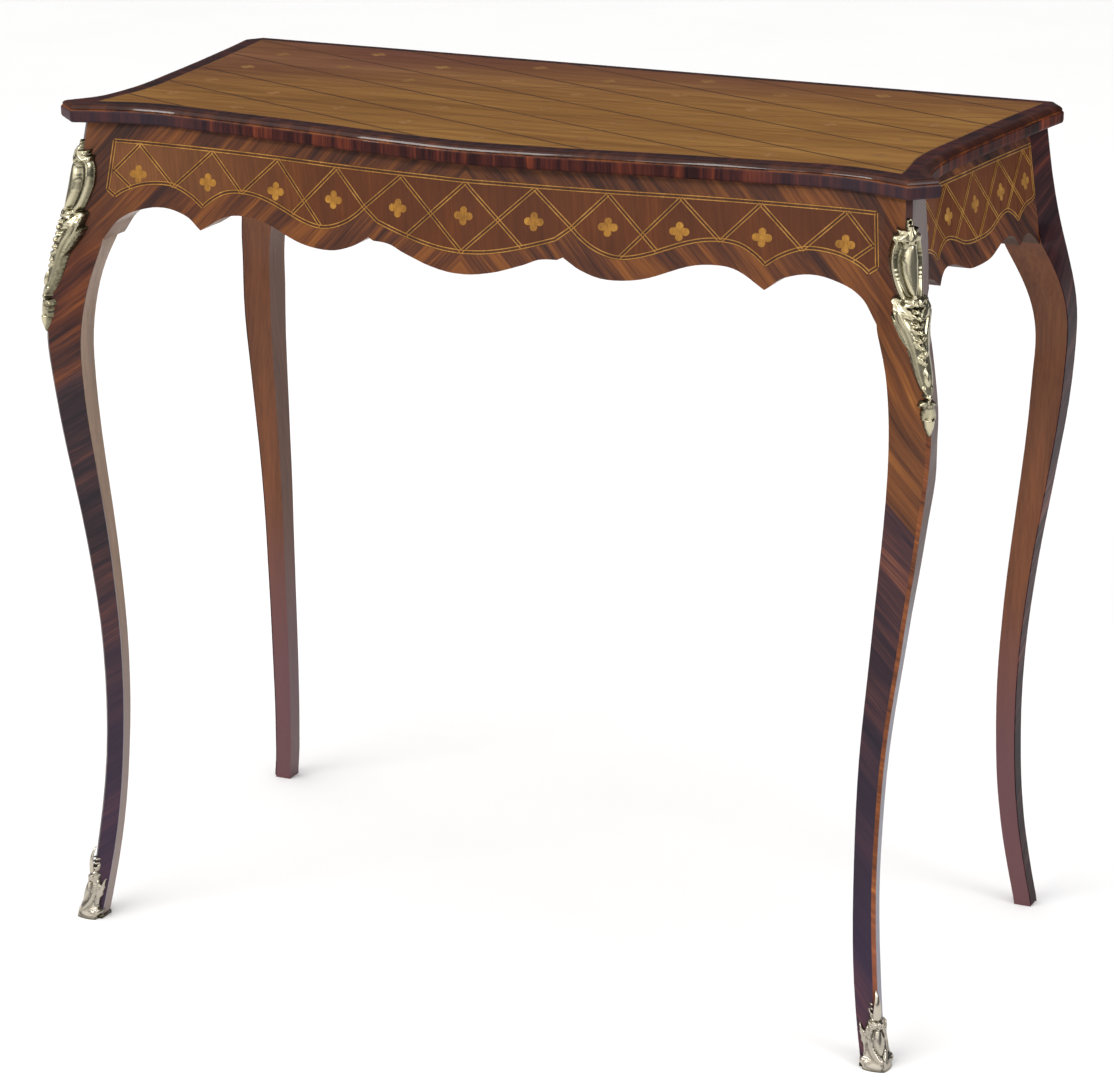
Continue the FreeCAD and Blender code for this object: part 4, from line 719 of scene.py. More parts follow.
def centres_of(node, axis):
    """middle of each separate inlay of a node, in mm; the inlays stand well apart along the rail"""
    pts = np.array([v.co[:] for v in NODES[node].data.vertices]) * 1000
    pts = pts[np.argsort(pts[:, axis])]
    cuts = np.nonzero(np.diff(pts[:, axis]) > 15.0)[0] + 1
    return [((g[:, axis].min() + g[:, axis].max()) / 2, (g[:, 2].min() + g[:, 2].max()) / 2) for g in np.split(pts, cuts)]


F_FOILS = centres_of("front_quatrefoils", 0)
side_lobes("front_quatrefoil_lobes", F_FOILS, on_front, 5.4, 3.2)

SIDE_TREES = {s: tree(s + "_panel_veneer", s + "_border_veneer", s + "_stringing", s + "_quatrefoils", s + "_rail") for s in ("right", "left")}
Y_SHIFT = 13.43


def on_side(s):
    sign = 1 if s == "right" else -1

    def place(y, z):
        hit, nor, _, _ = SIDE_TREES[s].ray_cast(Vector((sign * 0.6, (y + Y_SHIFT) / 1000, z / 1000)), Vector((-sign, 0, 0)))
        if hit is None:
            return None
        if nor.x * sign < 0:
            nor = -nor
        return hit, nor

    return place


S_MID, S_FORE, S_REAR = 20.0, -118.0, 140.0
S_CURVES = [[(0, 669.5), (14, 669.8), (28, 672), (42, 677.5), (54, 681), (64, 681), (74, 676), (82, 669.5)],
            [(82, 669.5), (90, 675.5), (100, 679.5), (112, 681)]]
s_lines = [((S_FORE + 1, 727.4), (S_REAR - 0.5, 727.4)), ((S_REAR - 3, 727.4), (S_REAR - 3, 683)), ((S_REAR - 3, 683), (S_MID + 112, 681)),
           ((S_FORE + 3, 727.4), (S_FORE + 3, 683)), ((S_FORE + 3, 683), (S_MID - 112, 681))]
S_LOW = np.concatenate([catmull(c, 12) for c in S_CURVES])
for f in (-104, -53, 0, 53, 102):
    t = S_MID + f
    for sg in (-1, 1):
        run = [(t + sg * k * 0.5 * 0.67, 726 - 0.5 * k * 0.742) for k in range(160)]
        keep = [q for q in run if S_FORE + 4 < q[0] < S_REAR - 4 and q[1] > np.interp(abs(q[0] - S_MID), S_LOW[:, 0], S_LOW[:, 1]) + 0.6]
        if len(keep) > 20:
            s_lines.append((keep[0], keep[-1]))
side_paths = [resample([a, b], 1.5) for a, b in s_lines]
for c in S_CURVES:
    for sg in (1, -1):
        side_paths.append(even(catmull([(S_MID + sg * q[0], q[1]) for q in c], 12), 1.5))
for s in ("right", "left"):
    pale_lines(s + "_stringing_pale_lines", side_paths, on_side(s), proud=0.00024, mat=M_PALE_Y)


# ---------------------------------------------------------------- bronze mounts
def pchip(xs, ys):
    """monotone cubic through the points, as a function of an array"""
    xs, ys = np.array(xs, float), np.array(ys, float)
    h, d = np.diff(xs), np.diff(ys) / np.diff(xs)
    m = np.zeros(len(xs))
    m[0], m[-1] = d[0], d[-1]
    for i in range(1, len(xs) - 1):
        if d[i - 1] * d[i] > 0:
            w1, w2 = 2 * h[i] + h[i - 1], h[i] + 2 * h[i - 1]
            m[i] = (w1 + w2) / (w1 / d[i - 1] + w2 / d[i])

    def f(x):
        x = np.clip(np.asarray(x, float), xs[0], xs[-1])
        i = np.clip(np.searchsorted(xs, x) - 1, 0, len(h) - 1)
        t = (x - xs[i]) / h[i]
        return (ys[i] * (1 + 2 * t) * (1 - t) ** 2 + m[i] * h[i] * t * (1 - t) ** 2
                + ys[i + 1] * t * t * (3 - 2 * t) + m[i + 1] * h[i] * t * t * (t - 1))

    return f


LEG_Z = [0, 40, 80, 120, 520, 545, 565, 585, 606, 625, 640, 660, 680, 700, 722, 745]
leg_out = pchip(LEG_Z, [394.5, 388.2, 383.6, 379.8, 415.5, 417.4, 417.1, 414.6, 410.4, 405.4, 401.5, 397.0, 392.9, 390.0, 387.9, 386.0])
leg_front = pchip(LEG_Z, [-212.3, -206.5, -200.5, -195.1, -193.7, -194.9, -194.4, -193.0, -190.5, -188.2, -185.6, -181.1, -178.0,
                          -174.2, -169.5, -164.2])
leg_cant = pchip([0, 520, 640, 745], [3.0, 3.0, 4.4, 4.4])
Y_SHIFT = 13.43
HALF = math.sqrt(0.5)


def on_corner(t, z, h):
    """point of the right front leg: t mm round its outer corner, z mm up, h mm proud of the wood"""
    t, z, h = np.broadcast_arrays(np.asarray(t, float), np.asarray(z, float), np.asarray(h, float))
    c = leg_cant(z)
    mx, my = leg_out(z) - c / 2, leg_front(z) + c / 2 + Y_SHIFT
    e = np.abs(t) - c * HALF
    fall = 0.5 * (e + np.sqrt(e * e + 1.2))
    k = 0.85 * np.sign(t) * smooth(1.5, 11.0, np.abs(t))
    n = np.sqrt(1 + k * k)
    o = -fall + h / n
    a = t + h * k / n
    return np.stack([(mx + HALF * (a + o)) / 1000, (my + HALF * (a - o)) / 1000, z / 1000], -1)


class Relief:
    """height of a casting over its chart, built up from tubes, leaves, beads and plates"""

    def __init__(self, t_half, s_len, step):
        self.t = np.linspace(-t_half, t_half, int(round(2 * t_half / step)) + 1)
        self.s = np.linspace(0, s_len, int(round(s_len / step)) + 1)
        self.T, self.S = np.meshgrid(self.t, self.s)
        self.H = np.full(self.T.shape, -3.0)
        self.low = np.zeros(self.T.shape)
        self.step = step

    def over(self, h, where=None):
        if where is not None:
            h = np.where(where, h, -3.0)
        self.H = np.maximum(self.H, h)

    def nearest(self, path, values):
        """distance to a polyline, with the values carried along it"""
        path = np.array(path, float)
        values = [np.array(v, float) for v in values]
        best = np.full(self.T.shape, 1e9)
        got = [np.zeros(self.T.shape) for v in values]
        for i in range(len(path) - 1):
            a, d = path[i], path[i + 1] - path[i]
            u = np.clip(((self.T - a[0]) * d[0] + (self.S - a[1]) * d[1]) / max(d @ d, 1e-9), 0, 1)
            q = np.hypot(self.T - a[0] - u * d[0], self.S - a[1] - u * d[1])
            hit = q < best
            best = np.where(hit, q, best)
            for k, v in enumerate(values):
                got[k] = np.where(hit, v[i] + u * (v[i + 1] - v[i]), got[k])
        return best, got

    def tube(self, path, radius, lift, both=True, flat=1.0):
        """round moulding along a path, lying at a given height"""
        fine = catmull(path, 5)
        k = np.linspace(0, 1, len(path))
        f = np.linspace(0, 1, len(fine))
        rad, lif = np.interp(f, k, radius), np.interp(f, k, lift)
        for sg in ((1, -1) if both else (1,)):
            d, (r, l) = self.nearest(fine * np.array([sg, 1.0]), [rad, lif])
            self.over(l + flat * np.sqrt(np.maximum(r * r - d * d, 0)), d < r)

    def bead(self, t, s, r, lift, high=1.0, long=1.0, both=True):
        for sg in ((1, -1) if both and abs(t) > 1e-6 else (1,)):
            q = ((self.T - sg * t) / r) ** 2 + ((self.S - s) / (r * long)) ** 2
            self.over(lift + high * r * np.sqrt(np.maximum(1 - q, 0)), q < 1)

    def flower(self, t, s, r, lift, turn=0.0, petals=5, both=True):
        for sg in ((1, -1) if both and abs(t) > 1e-6 else (1,)):
            d = np.hypot(self.T - sg * t, self.S - s)
            a = np.arctan2(self.S - s, sg * (self.T - sg * t)) + turn
            edge = r * (0.80 + 0.20 * np.cos(petals * a))
            dome = np.sqrt(np.maximum(1 - (d / edge) ** 2, 0))
            groove = 0.20 * r * (0.5 - 0.5 * np.cos(petals * a)) * np.clip(d / r * 1.6, 0, 1)
            dip = 0.30 * r * np.exp(-(d / (0.30 * r)) ** 2)
            self.over(lift + 0.85 * r * dome - groove - dip, d < edge)
            self.over(lift + 0.62 * r + 0.22 * r * np.sqrt(np.maximum(1 - (d / (0.2 * r)) ** 2, 0)), d < 0.2 * r)

    def volute(self, t, s, r, lift, hand=1, both=True, turns=1.6):
        """rolled scroll end: a spiral ridge round a small eye"""
        for sg in ((1, -1) if both and abs(t) > 1e-6 else (1,)):
            d = np.hypot(self.T - sg * t, self.S - s)
            a = np.arctan2(self.S - s, sg * hand * (self.T - sg * t))
            ph = d / r * turns - a / (2 * math.pi)
            ridge = 0.5 + 0.5 * np.cos(2 * math.pi * ph)
            dome = np.sqrt(np.maximum(1 - (d / r) ** 2 * 0.86, 0))
            self.over(lift + r * 0.62 * dome + r * 0.20 * (ridge - 0.5), d < r)
            self.over(lift + r * 0.62 + r * 0.24 * np.sqrt(np.maximum(1 - (d / (0.26 * r)) ** 2, 0)), d < 0.26 * r)

    def leaf(self, base, tip, width, lift0, lift1, lobes=4, rib=0.5, both=True, belly=0.5, curl=1.0):
        """leaf with a mid rib, side veins and a lobed edge, from base to tip"""
        b, e = np.array(base, float), np.array(tip, float)
        for sg in ((1, -1) if both else (1,)):
            b2, e2 = b * np.array([sg, 1]), e * np.array([sg, 1])
            d = e2 - b2
            length = np.hypot(*d)
            d = d / length
            u = ((self.T - b2[0]) * d[0] + (self.S - b2[1]) * d[1]) / length
            v = (-(self.T - b2[0]) * d[1] + (self.S - b2[1]) * d[0])
            uc = np.clip(u, 0, 1)
            shape = np.sin(math.pi * np.clip(uc, 0.0, 1.0) ** belly) ** 0.8
            edge = width * shape * (1 - 0.20 * (0.5 + 0.5 * np.cos(2 * math.pi * (uc * lobes - np.abs(v) / (width * 2.2)))))
            inside = (u > 0) & (u < 1) & (np.abs(v) < edge)
            w = np.clip(np.abs(v) / np.maximum(edge, 1e-3), 0, 1)
            veins = 0.30 * np.cos(2 * math.pi * (uc * lobes - np.abs(v) / (width * 2.2)))
            h = lift0 + (lift1 - lift0) * uc ** curl + rib * np.exp(-(v / (0.16 * width + 0.15)) ** 2)
            h = h + 0.55 * width * 0.5 * np.sqrt(np.maximum(1 - w * w, 0)) + veins * w * (1 - w) * 1.8
            self.over(h, inside)

    def blur(self, field, sigma):
        r = int(math.ceil(3 * sigma / self.step))
        k = np.exp(-0.5 * (np.arange(-r, r + 1) * self.step / sigma) ** 2)
        k /= k.sum()
        p = np.pad(field, ((r, r), (r, r)), mode="edge")
        p = sum(w * p[i:i + field.shape[0], :] for i, w in enumerate(k))
        return sum(w * p[:, i:i + field.shape[1]] for i, w in enumerate(k))

    def soften(self, sigma):
        self.H = self.blur(self.H, sigma)

    def hollows(self):
        """how far a place lies below what is round it"""
        base = np.maximum(self.H, 0.0)
        return np.clip((self.blur(base, 2.2) - self.blur(base, 0.5)) / 1.1, 0, 1)


def cast(relief, z_top, deep, name, side, extra=(), warp=None):
    """closed casting from a relief: worked face in front, plain back let into the wood"""
    H, T = relief.H, relief.T
    Z = z_top - (relief.S if warp is None else warp(relief.S))
    rows, cols = H.shape
    up = H > -0.9
    keep = up[:-1, :-1] | up[1:, :-1] | up[:-1, 1:] | up[1:, 1:]
    front_pts = on_corner(T, Z, H)
    back_pts = on_corner(T, Z, np.minimum(H - 0.4, -deep))
    index = -np.ones((2, rows, cols), int)
    used = np.zeros((rows, cols), bool)
    for di in (0, 1):
        for dj in (0, 1):
            used[di:rows - 1 + di, dj:cols - 1 + dj] |= keep
    n = int(used.sum())
    index[0][used] = np.arange(n)
    index[1][used] = np.arange(n) + n
    verts = np.concatenate([front_pts[used], back_pts[used]])
    ii, jj = np.nonzero(keep)
    a, b = index[0], index[1]
    faces = [list(q) for q in np.stack([a[ii, jj], a[ii + 1, jj], a[ii + 1, jj + 1], a[ii, jj + 1]], 1)]
    faces += [list(q) for q in np.stack([b[ii, jj], b[ii, jj + 1], b[ii + 1, jj + 1], b[ii + 1, jj]], 1)]
    pad = np.pad(keep, 1)
    for di, dj, p, q in ((-1, 0, (0, 0), (0, 1)), (1, 0, (1, 1), (1, 0)), (0, -1, (1, 0), (0, 0)), (0, 1, (0, 1), (1, 1))):
        edge = keep & ~pad[1 + di:rows + di, 1 + dj:cols + dj]
        ei, ej = np.nonzero(edge)
        faces += [list(f) for f in np.stack([a[ei + p[0], ej + p[1]], a[ei + q[0], ej + q[1]],
                                             b[ei + q[0], ej + q[1]], b[ei + p[0], ej + p[1]]], 1)]
    verts = [tuple(v) for v in verts]
    for ev, ef in extra:
        base = len(verts)
        verts += [tuple(v) for v in ev]
        faces += [[base + i for i in f] for f in ef]
    if side == "left":
        verts = [(-v[0], v[1], v[2]) for v in verts]
        faces = [list(reversed(f)) for f in faces]
    ob = mesh_object(name, verts, faces, [M_FOOT if "sabot" in name else M_GILT])
    # patina gathers on the low parts of the casting
    grime = ob.data.attributes.new("patina", "FLOAT", "POINT")
    level = np.zeros(len(verts), np.float32)
    level[:n] = relief.low[used]
    level[n:2 * n] = 1.0
    level[2 * n:] = [1.0 if v[2] < 0.004 else 0.0 for v in verts[2 * n:]]
    grime.data.foreach_set("value", level)
    return ob


def lens(rows, ring=14):
    """closed free-standing leaf from (t, s-height z, h, half width, half thickness) stations"""
    verts, faces = [], []
    for t, z, h, w, d in rows:
        for k in range(ring):
            a = 2 * math.pi * k / ring
            verts.append(on_corner(t + w * math.cos(a), z, h + d * math.sin(a) * (1.0 + 0.35 * math.cos(a) ** 8)))
    n = len(rows)
    for i in range(n - 1):
        for k in range(ring):
            k2 = (k + 1) % ring
            faces.append([i * ring + k, i * ring + k2, (i + 1) * ring + k2, (i + 1) * ring + k])
    faces.append(list(reversed(range(ring))))
    faces.append([(n - 1) * ring + k for k in range(ring)])
    return verts, faces


CH_TOP = 727.0
ch = Relief(19.0, 179.0, 0.36)
# plate of the cartouche: cove at its edge, flat band, inner rim and convex boss
plate_w = pchip([8, 12, 16, 22, 30, 40, 50, 58, 64, 72], [5.5, 8.2, 10.0, 12.0, 13.2, 13.4, 12.4, 11.2, 10.2, 7.0])
rim_w = pchip([10, 16, 22, 30, 38, 46, 54, 60, 66, 74], [5.0, 7.2, 8.6, 9.8, 10.1, 9.6, 8.7, 7.7, 6.4, 4.6])
boss_w = pchip([18, 22, 26, 34, 44, 52, 58, 63, 67], [2.6, 3.6, 4.6, 5.4, 5.2, 4.5, 3.6, 2.6, 1.0])
boss_h = pchip([18, 26, 36, 46, 58, 67], [4.6, 5.4, 5.6, 5.5, 5.6, 5.0])
AT, S_ = np.abs(ch.T), ch.S
pw, rw, bw = plate_w(S_), rim_w(S_), boss_w(S_)
body = (S_ > 8.5) & (S_ < 72)
cove = np.clip((AT - rw) / np.maximum(pw - rw, 0.5), 0, 1)
ch.over(np.where(AT < rw, 3.9, 0.4 + 3.6 * (1 - cove) ** 2.0 + 0.9 * smooth(0.72, 0.95, cove)), body & (AT < pw))
mid_w = (bw + rw) / 2
trough = np.clip(np.abs(AT - mid_w) / np.maximum((rw - bw) / 2, 0.4), 0, 1)
ch.H = np.where(body & (S_ > 18) & (S_ < 70) & (AT < rw) & (AT > bw), 2.2 + 2.0 * trough ** 2, ch.H)
ch.tube([(rim_w(s), s) for s in (13, 18, 24, 31, 39, 47, 55, 62, 68, 73)], [0.9, 1.15, 1.25, 1.3, 1.3, 1.3, 1.3, 1.4, 1.5, 1.2], [4.2] * 10)
ch.H = np.where(body & (S_ > 18), ch.H - 1.5 * np.exp(-((AT - bw - 0.5) / 0.7) ** 2) * smooth(18, 22, S_) * (1 - smooth(62, 67, S_)), ch.H)
dome = boss_h(S_) + 2.6 * np.sqrt(np.maximum(1 - (ch.T / bw) ** 2, 0)) * smooth(17, 22, S_)
ch.over(dome, (S_ > 18) & (S_ < 67) & (AT < bw))
# head: ring, small collar, ribbed shell, leaf lobes and rolled ends
ring_d = np.hypot(ch.T, (S_ - 2.9))
ch.over(2.6 + np.sqrt(np.maximum(1.1 ** 2 - (ring_d - 2.1) ** 2, 0)), np.abs(ring_d - 2.1) < 1.1)
ch.over(0.9 + 0 * S_, ring_d < 1.4)
ch.bead(0, 6.0, 3.4, 2.4, 0.55, 0.5)
ch.leaf((2.4, 13.5), (8.6, 7.6), 2.7, 3.2, 2.9, 3, 0.5)
ch.leaf((3.0, 16.0), (11.0, 13.2), 2.5, 2.6, 2.0, 3, 0.4)
ch.volute(7.6, 15.8, 2.9, 3.3, 1)
ang = np.arctan2(ch.T, np.maximum(S_ - 2.0, 0.3))
rad = np.hypot(ch.T, S_ - 3.0)
scallop = 16.2 - 0.9 * (0.5 - 0.5 * np.cos(ang * 15.0))
shell = 3.4 + 4.4 * np.sin(np.clip(rad / 17.5, 0, 1) * 2.2) - 0.9 * (ch.T / 6.0) ** 2 + 0.42 * np.cos(ang * 15.0)
ch.over(shell, (rad < scallop) & (np.abs(ang) < 0.47) & (S_ > 5.5))
for k, s0 in enumerate((20.0, 22.6, 25.0)):
    sag = s0 + 1.5 * (ch.T / 5.2) ** 2 * (-1) + 0.45 * np.cos(ch.T * 2.1)
    ch.over(6.6 - 0.35 * k + 0.7 * np.sqrt(np.maximum(1 - ((S_ - sag) / 1.25) ** 2, 0)), (np.abs(S_ - sag) < 1.25) & (AT < 5.4 - 0.5 * k))
# foot of the cartouche: shell with a curl under the boss
ang2 = np.arctan2(ch.T, np.maximum(73.5 - S_, 0.3))
rad2 = np.hypot(ch.T, S_ - 72.5)
ch.over(6.2 + 2.6 * np.sin(np.clip(rad2 / 8.6, 0, 1) * 2.3) + 0.40 * np.cos(ang2 * 9.0), (rad2 < 8.0 - 0.7 * (0.5 - 0.5 * np.cos(ang2 * 9.0))) & (S_ < 72.5) & (np.abs(ang2) < 1.0))
ch.bead(0, 71.2, 2.5, 6.4, 1.0)
ch.volute(4.0, 71.8, 2.4, 5.6, -1)
# bed of the lower part and its C-scroll sides
low_w = pchip([68, 74, 82, 90, 98, 108, 120, 132, 140, 145], [9.0, 9.4, 8.2, 6.6, 5.4, 4.8, 4.6, 4.2, 3.0, 0.6])
lw = low_w(S_)
ch.over(3.0 + 0.8 * np.cos(np.clip(ch.T / lw, -1, 1) * 1.5), (S_ > 68) & (S_ < 145) & (AT < lw))
ch.tube([(10.6, 69.8), (10.4, 74), (9.6, 80), (8.2, 86.5), (6.6, 93), (5.6, 100), (5.0, 109), (4.8, 119), (4.6, 128), (3.7, 136.5), (1.9, 142), (0, 144)],
        [2.0, 2.3, 2.6, 2.5, 2.2, 1.9, 1.6, 1.4, 1.3, 1.25, 1.2, 1.2], [3.4, 3.6, 3.6, 3.4, 3.3, 3.2, 3.1, 3.0, 3.0, 2.9, 2.8, 2.8])
ch.volute(10.4, 69.8, 3.2, 3.6, 1)
flare = pchip([76, 84, 92, 100, 112, 126, 140], [3.0, 4.6, 5.2, 4.6, 3.4, 2.6, 0.8])(S_)
far = np.clip((AT - lw) / np.maximum(flare, 0.5), 0, 1)
ch.over(-1.6 + 4.0 * (1 - far) ** 2.4 + 0.35 * np.cos(2 * math.pi * (S_ + 1.6 * AT) / 6.5), (S_ > 76) & (S_ < 141) & (AT >= lw - 0.5) & (AT < lw + flare))
for k, (t1, s1) in enumerate(((13.4, 83.0), (12.4, 88.5), (11.0, 94.0), (9.6, 99.0))):
    ch.tube([(6.4 - 0.3 * k, 101.0 + 3.0 * k), (8.6 - 0.4 * k, 97.0 + 2.6 * k), (t1 - 1.2, s1 + 3.4), (t1, s1)], [1.0, 1.3, 1.5, 1.1], [1.4, 1.2, 0.8, 0.5])
    ch.bead(t1 + 0.2, s1 - 0.4, 1.45, 0.5, 1.0)
ch.leaf((3.8, 84.0), (9.0, 69.5), 2.6, 5.0, 5.6, 4, 0.5, True, 0.7)
# garland of small flowers and leaves down the middle
for k, (t, s, r, l) in enumerate(((0.0, 77.0, 2.9, 5.6), (1.3, 83.0, 2.7, 5.5), (-1.2, 88.0, 2.8, 5.4), (0.9, 94.0, 2.9, 5.2), (-0.7, 100.5, 2.6, 5.0),
                                  (0.7, 106.5, 2.5, 4.6), (-0.3, 112.5, 2.3, 4.4), (0.2, 118.0, 2.0, 4.0))):
    ch.flower(t, s, r, l, 0.7 * k, 5, False)
for k, (t, s) in enumerate(((3.4, 79.5), (-3.6, 81.0), (3.5, 88.5), (-3.4, 93.5), (3.1, 99.0), (-2.8, 104.5), (2.5, 111.0), (-2.2, 116.0))):
    sg = 1 if t > 0 else -1
    ch.leaf((sg * 0.8, s + 2.0), (t + sg * 1.2, s - 3.0), 1.7, 4.6, 4.2, 3, 0.35, False, 0.7)
ch.bead(0, 129.0, 2.1, 3.6, 1.2, 3.3)
ch.bead(0, 145.2, 2.0, 3.0, 0.8)
ch.bead(2.2, 144.6, 1.2, 2.8, 0.8)
# hanging bud in its leaves
ch.leaf((0, 146.0), (0, 165.5), 4.2, 1.6, 2.2, 5, 0.6, False, 0.75)
ch.leaf((1.6, 148.0), (7.0, 152.8), 2.2, 1.8, 1.6, 3, 0.5, True, 0.7)
ch.leaf((1.4, 150.0), (5.2, 164.0), 2.5, 1.7, 1.9, 4, 0.5, True, 0.8)
ch.over(2.0 - 0.08 * ch.T ** 2, (S_ > 148) & (S_ < 164) & (AT < 4.0))
cup = np.abs(S_ - 163.6 - 0.5 * np.cos(ch.T * 1.8))
ch.over(3.2 + 0.9 * np.sqrt(np.maximum(1 - (cup / 1.3) ** 2, 0)) - 0.09 * ch.T ** 2, (cup < 1.3) & (AT < 4.2))
bud_w = pchip([161, 164, 168, 171, 174, 176], [4.0, 4.4, 4.1, 3.0, 1.7, 0.3])
bw2 = bud_w(S_)
ch.over(0.9 + 0.95 * np.sqrt(np.maximum(bw2 ** 2 - ch.T ** 2, 0)) + 0.12 * np.cos(ch.T * 3.2 + S_ * 0.9), (S_ > 162) & (S_ < 176) & (AT < bw2))
ch.low = np.maximum(1 - smooth(1.2, 3.8, ch.blur(ch.H, 0.8)), 0.6 * ch.hollows())
panel = (ch.S > 18) & (ch.S < 68)
ch.low = np.where(panel, np.maximum(ch.low, 0.85 * np.exp(-((np.abs(ch.T) - mid_w) / (0.28 * (rw - bw) + 0.5)) ** 2)), ch.low)
for sg in (1, -1):
    d_c, _ = ch.nearest(catmull([(10.4, 78), (9.2, 86), (7.5, 93), (6.4, 100), (5.7, 109), (5.4, 119), (5.1, 128), (4.2, 136)], 5) * np.array([sg, 1.0]), [])
    hollow = np.exp(-(d_c / 1.1) ** 2)
    ch.H = np.where(ch.H > 0, ch.H - 1.6 * hollow, ch.H)
    ch.low = np.maximum(ch.low, 0.9 * hollow)
lift = 3.4 * smooth(66, 80, ch.S) * (1 - smooth(150, 172, ch.S))
ch.H = np.where(ch.H > -2.9, ch.H + lift, ch.H)
sharp = ch.H
blend = smooth(17, 22, ch.S) * (1 - smooth(60, 66, ch.S))
ch.H = np.where(sharp > -2.9, blend * np.maximum(ch.blur(sharp, 0.74), 0.0) + (1 - blend) * ch.blur(sharp, 0.36), ch.blur(sharp, 0.36))

# foot mount
sb = Relief(14.5, 66.0, 0.40)
AT, S_ = np.abs(sb.T), sb.S
foot_w = pchip([16, 20, 26, 30, 40, 52, 60, 66], [2.6, 3.6, 6.0, 7.4, 8.6, 10.0, 11.0, 11.4])
fw = foot_w(S_)
toe = pchip([20, 30, 40, 50, 58, 63, 66], [1.6, 2.4, 3.2, 4.8, 7.0, 8.6, 9.0])
sb.over(toe(S_) * (1 - 0.5 * np.clip((sb.T + 1.2) / (fw + 0.5), -1, 1) ** 2), (S_ > 18) & (AT < fw))
sb.leaf((0.0, 34.0), (0.0, 16.0), 4.4, 2.4, 3.0, 4, 0.5, False, 0.8)
for k, z in enumerate((55.5, 51.5, 47.0, 42.0)):
    sb.bead(3.5 - 0.15 * k, 66 - z, 1.25 + 0.1 * k, 2.4, 1.1)
sb.leaf((2.4, 25.0), (5.4, 14.5), 1.7, 1.6, 2.2, 2, 0.4)
sb.leaf((7.6, 50.0), (11.2, 27.0), 2.6, 1.4, 1.9, 3, 0.5, True, 0.6)
# collar, oval and its rim tubes
for k, s0 in enumerate((28.4, 31.0)):
    sag = s0 + 0.06 * sb.T ** 2 * (-1) + 0.55 * np.cos(sb.T * 1.7 + k)
    sb.over(4.4 - 0.3 * k + 1.0 * np.sqrt(np.maximum(1 - ((S_ - sag) / 1.5) ** 2, 0)), (np.abs(S_ - sag) < 1.5) & (AT < 6.4 - 0.6 * k))
oval = ((sb.T) / 4.3) ** 2 + ((S_ - 43.0) / 11.5) ** 2
sb.over(3.4 + 0.05 * (S_ - 32) + 2.6 * np.sqrt(np.maximum(1 - oval, 0)), oval < 1)
sb.tube([(4.4, 31.5), (5.3, 36), (5.6, 42), (5.2, 48), (4.0, 53.5), (2.2, 58)], [0.9, 1.2, 1.3, 1.3, 1.2, 1.0], [3.2, 3.4, 3.9, 4.8, 6.0, 7.2])
sb.tube([(6.6, 31.0), (7.8, 37), (8.4, 44), (8.6, 50), (8.8, 55)], [0.8, 1.0, 1.1, 1.2, 1.3], [2.4, 2.5, 2.8, 3.2, 3.6])
sb.volute(8.3, 59.3, 4.7, 3.6, 1)
sb.leaf((0, 56.0), (0, 68.0), 3.0, 7.4, 8.2, 2, 0.5, False, 0.7)
sb.low = np.clip(0.12 + 1.9 * sb.hollows(), 0, 0.95)
sb.soften(0.34)

LEAF = [(0.0, 40.0, 3.0, 3.0, 1.2), (0.0, 45.0, 3.9, 3.6, 1.3), (0.0, 50.0, 4.8, 3.4, 1.35), (0.0, 54.5, 5.2, 3.0, 1.3), (0.0, 58.5, 5.0, 2.5, 1.2),
        (0.0, 62.0, 4.2, 1.8, 1.0), (0.0, 65.0, 3.0, 1.1, 0.75), (0.0, 67.0, 2.0, 0.45, 0.45)]


def sole(z0, z1):
    """thin plate under the foot"""
    pts = [(375.2, -213.6), (391.4, -213.6), (395.8, -209.2), (395.8, -196.6), (375.2, -196.6)]
    n = len(pts)
    verts = [(x / 1000, (y + Y_SHIFT) / 1000, z) for z in (z0, z1) for x, y in pts]
    faces = [list(reversed(range(n))), list(range(n, 2 * n))] + [[i, (i + 1) % n, n + (i + 1) % n, n + i] for i in range(n)]
    return verts, faces


for s in ("right", "left"):
    m1 = cast(ch, CH_TOP, 2.2, "chute_casting_" + s, s, (), pchip([0, 12, 72, 144, 160, 179], [0, 12, 66.5, 137.5, 154.5, 175.5]))
    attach(m1, "root")
    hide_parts("chute_front_" + s)
    m2 = cast(sb, 66.0, 1.4, "sabot_casting_" + s, s, [lens(LEAF), sole(0.0, 0.0029)])
    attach(m2, "root")
    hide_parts("sabot_front_" + s)


# ---------------------------------------------------------------- floor, light, camera
def stage_floor():
    m = Mat("floor_paint")
    n = m.noise(m.co, 3.0, 3.0, 0.5)
    col = m.ramp(n, [(0.3, (0.93, 0.93, 0.93)), (0.7, (0.95, 0.95, 0.95))])
    m.put(m.b.inputs["Roughness"], m.range(n, 0.3, 0.7, 0.9, 0.8))
    m.b.inputs["Specular IOR Level"].default_value = 0.1
    s = 14.0
    ob = mesh_object("floor", [(-s, -s, -0.0002), (s, -s, -0.0002), (s, s, -0.0002), (-s, s, -0.0002)], [[0, 1, 2, 3]], [m.set(Base_Color=col)], False)


stage_floor()


def area(name, pos, target, size, power, colour):
    d = bpy.data.lights.new(name, "AREA")
    d.shape = "RECTANGLE"
    d.size, d.size_y = size
    d.energy = power
    d.color = colour
    ob = bpy.data.objects.new(name, d)
    scene.collection.objects.link(ob)
    ob.location = pos
    ob.rotation_mode = "QUATERNION"
    ob.rotation_quaternion = (Vector(target) - Vector(pos)).to_track_quat("-Z", "Y")
    return ob


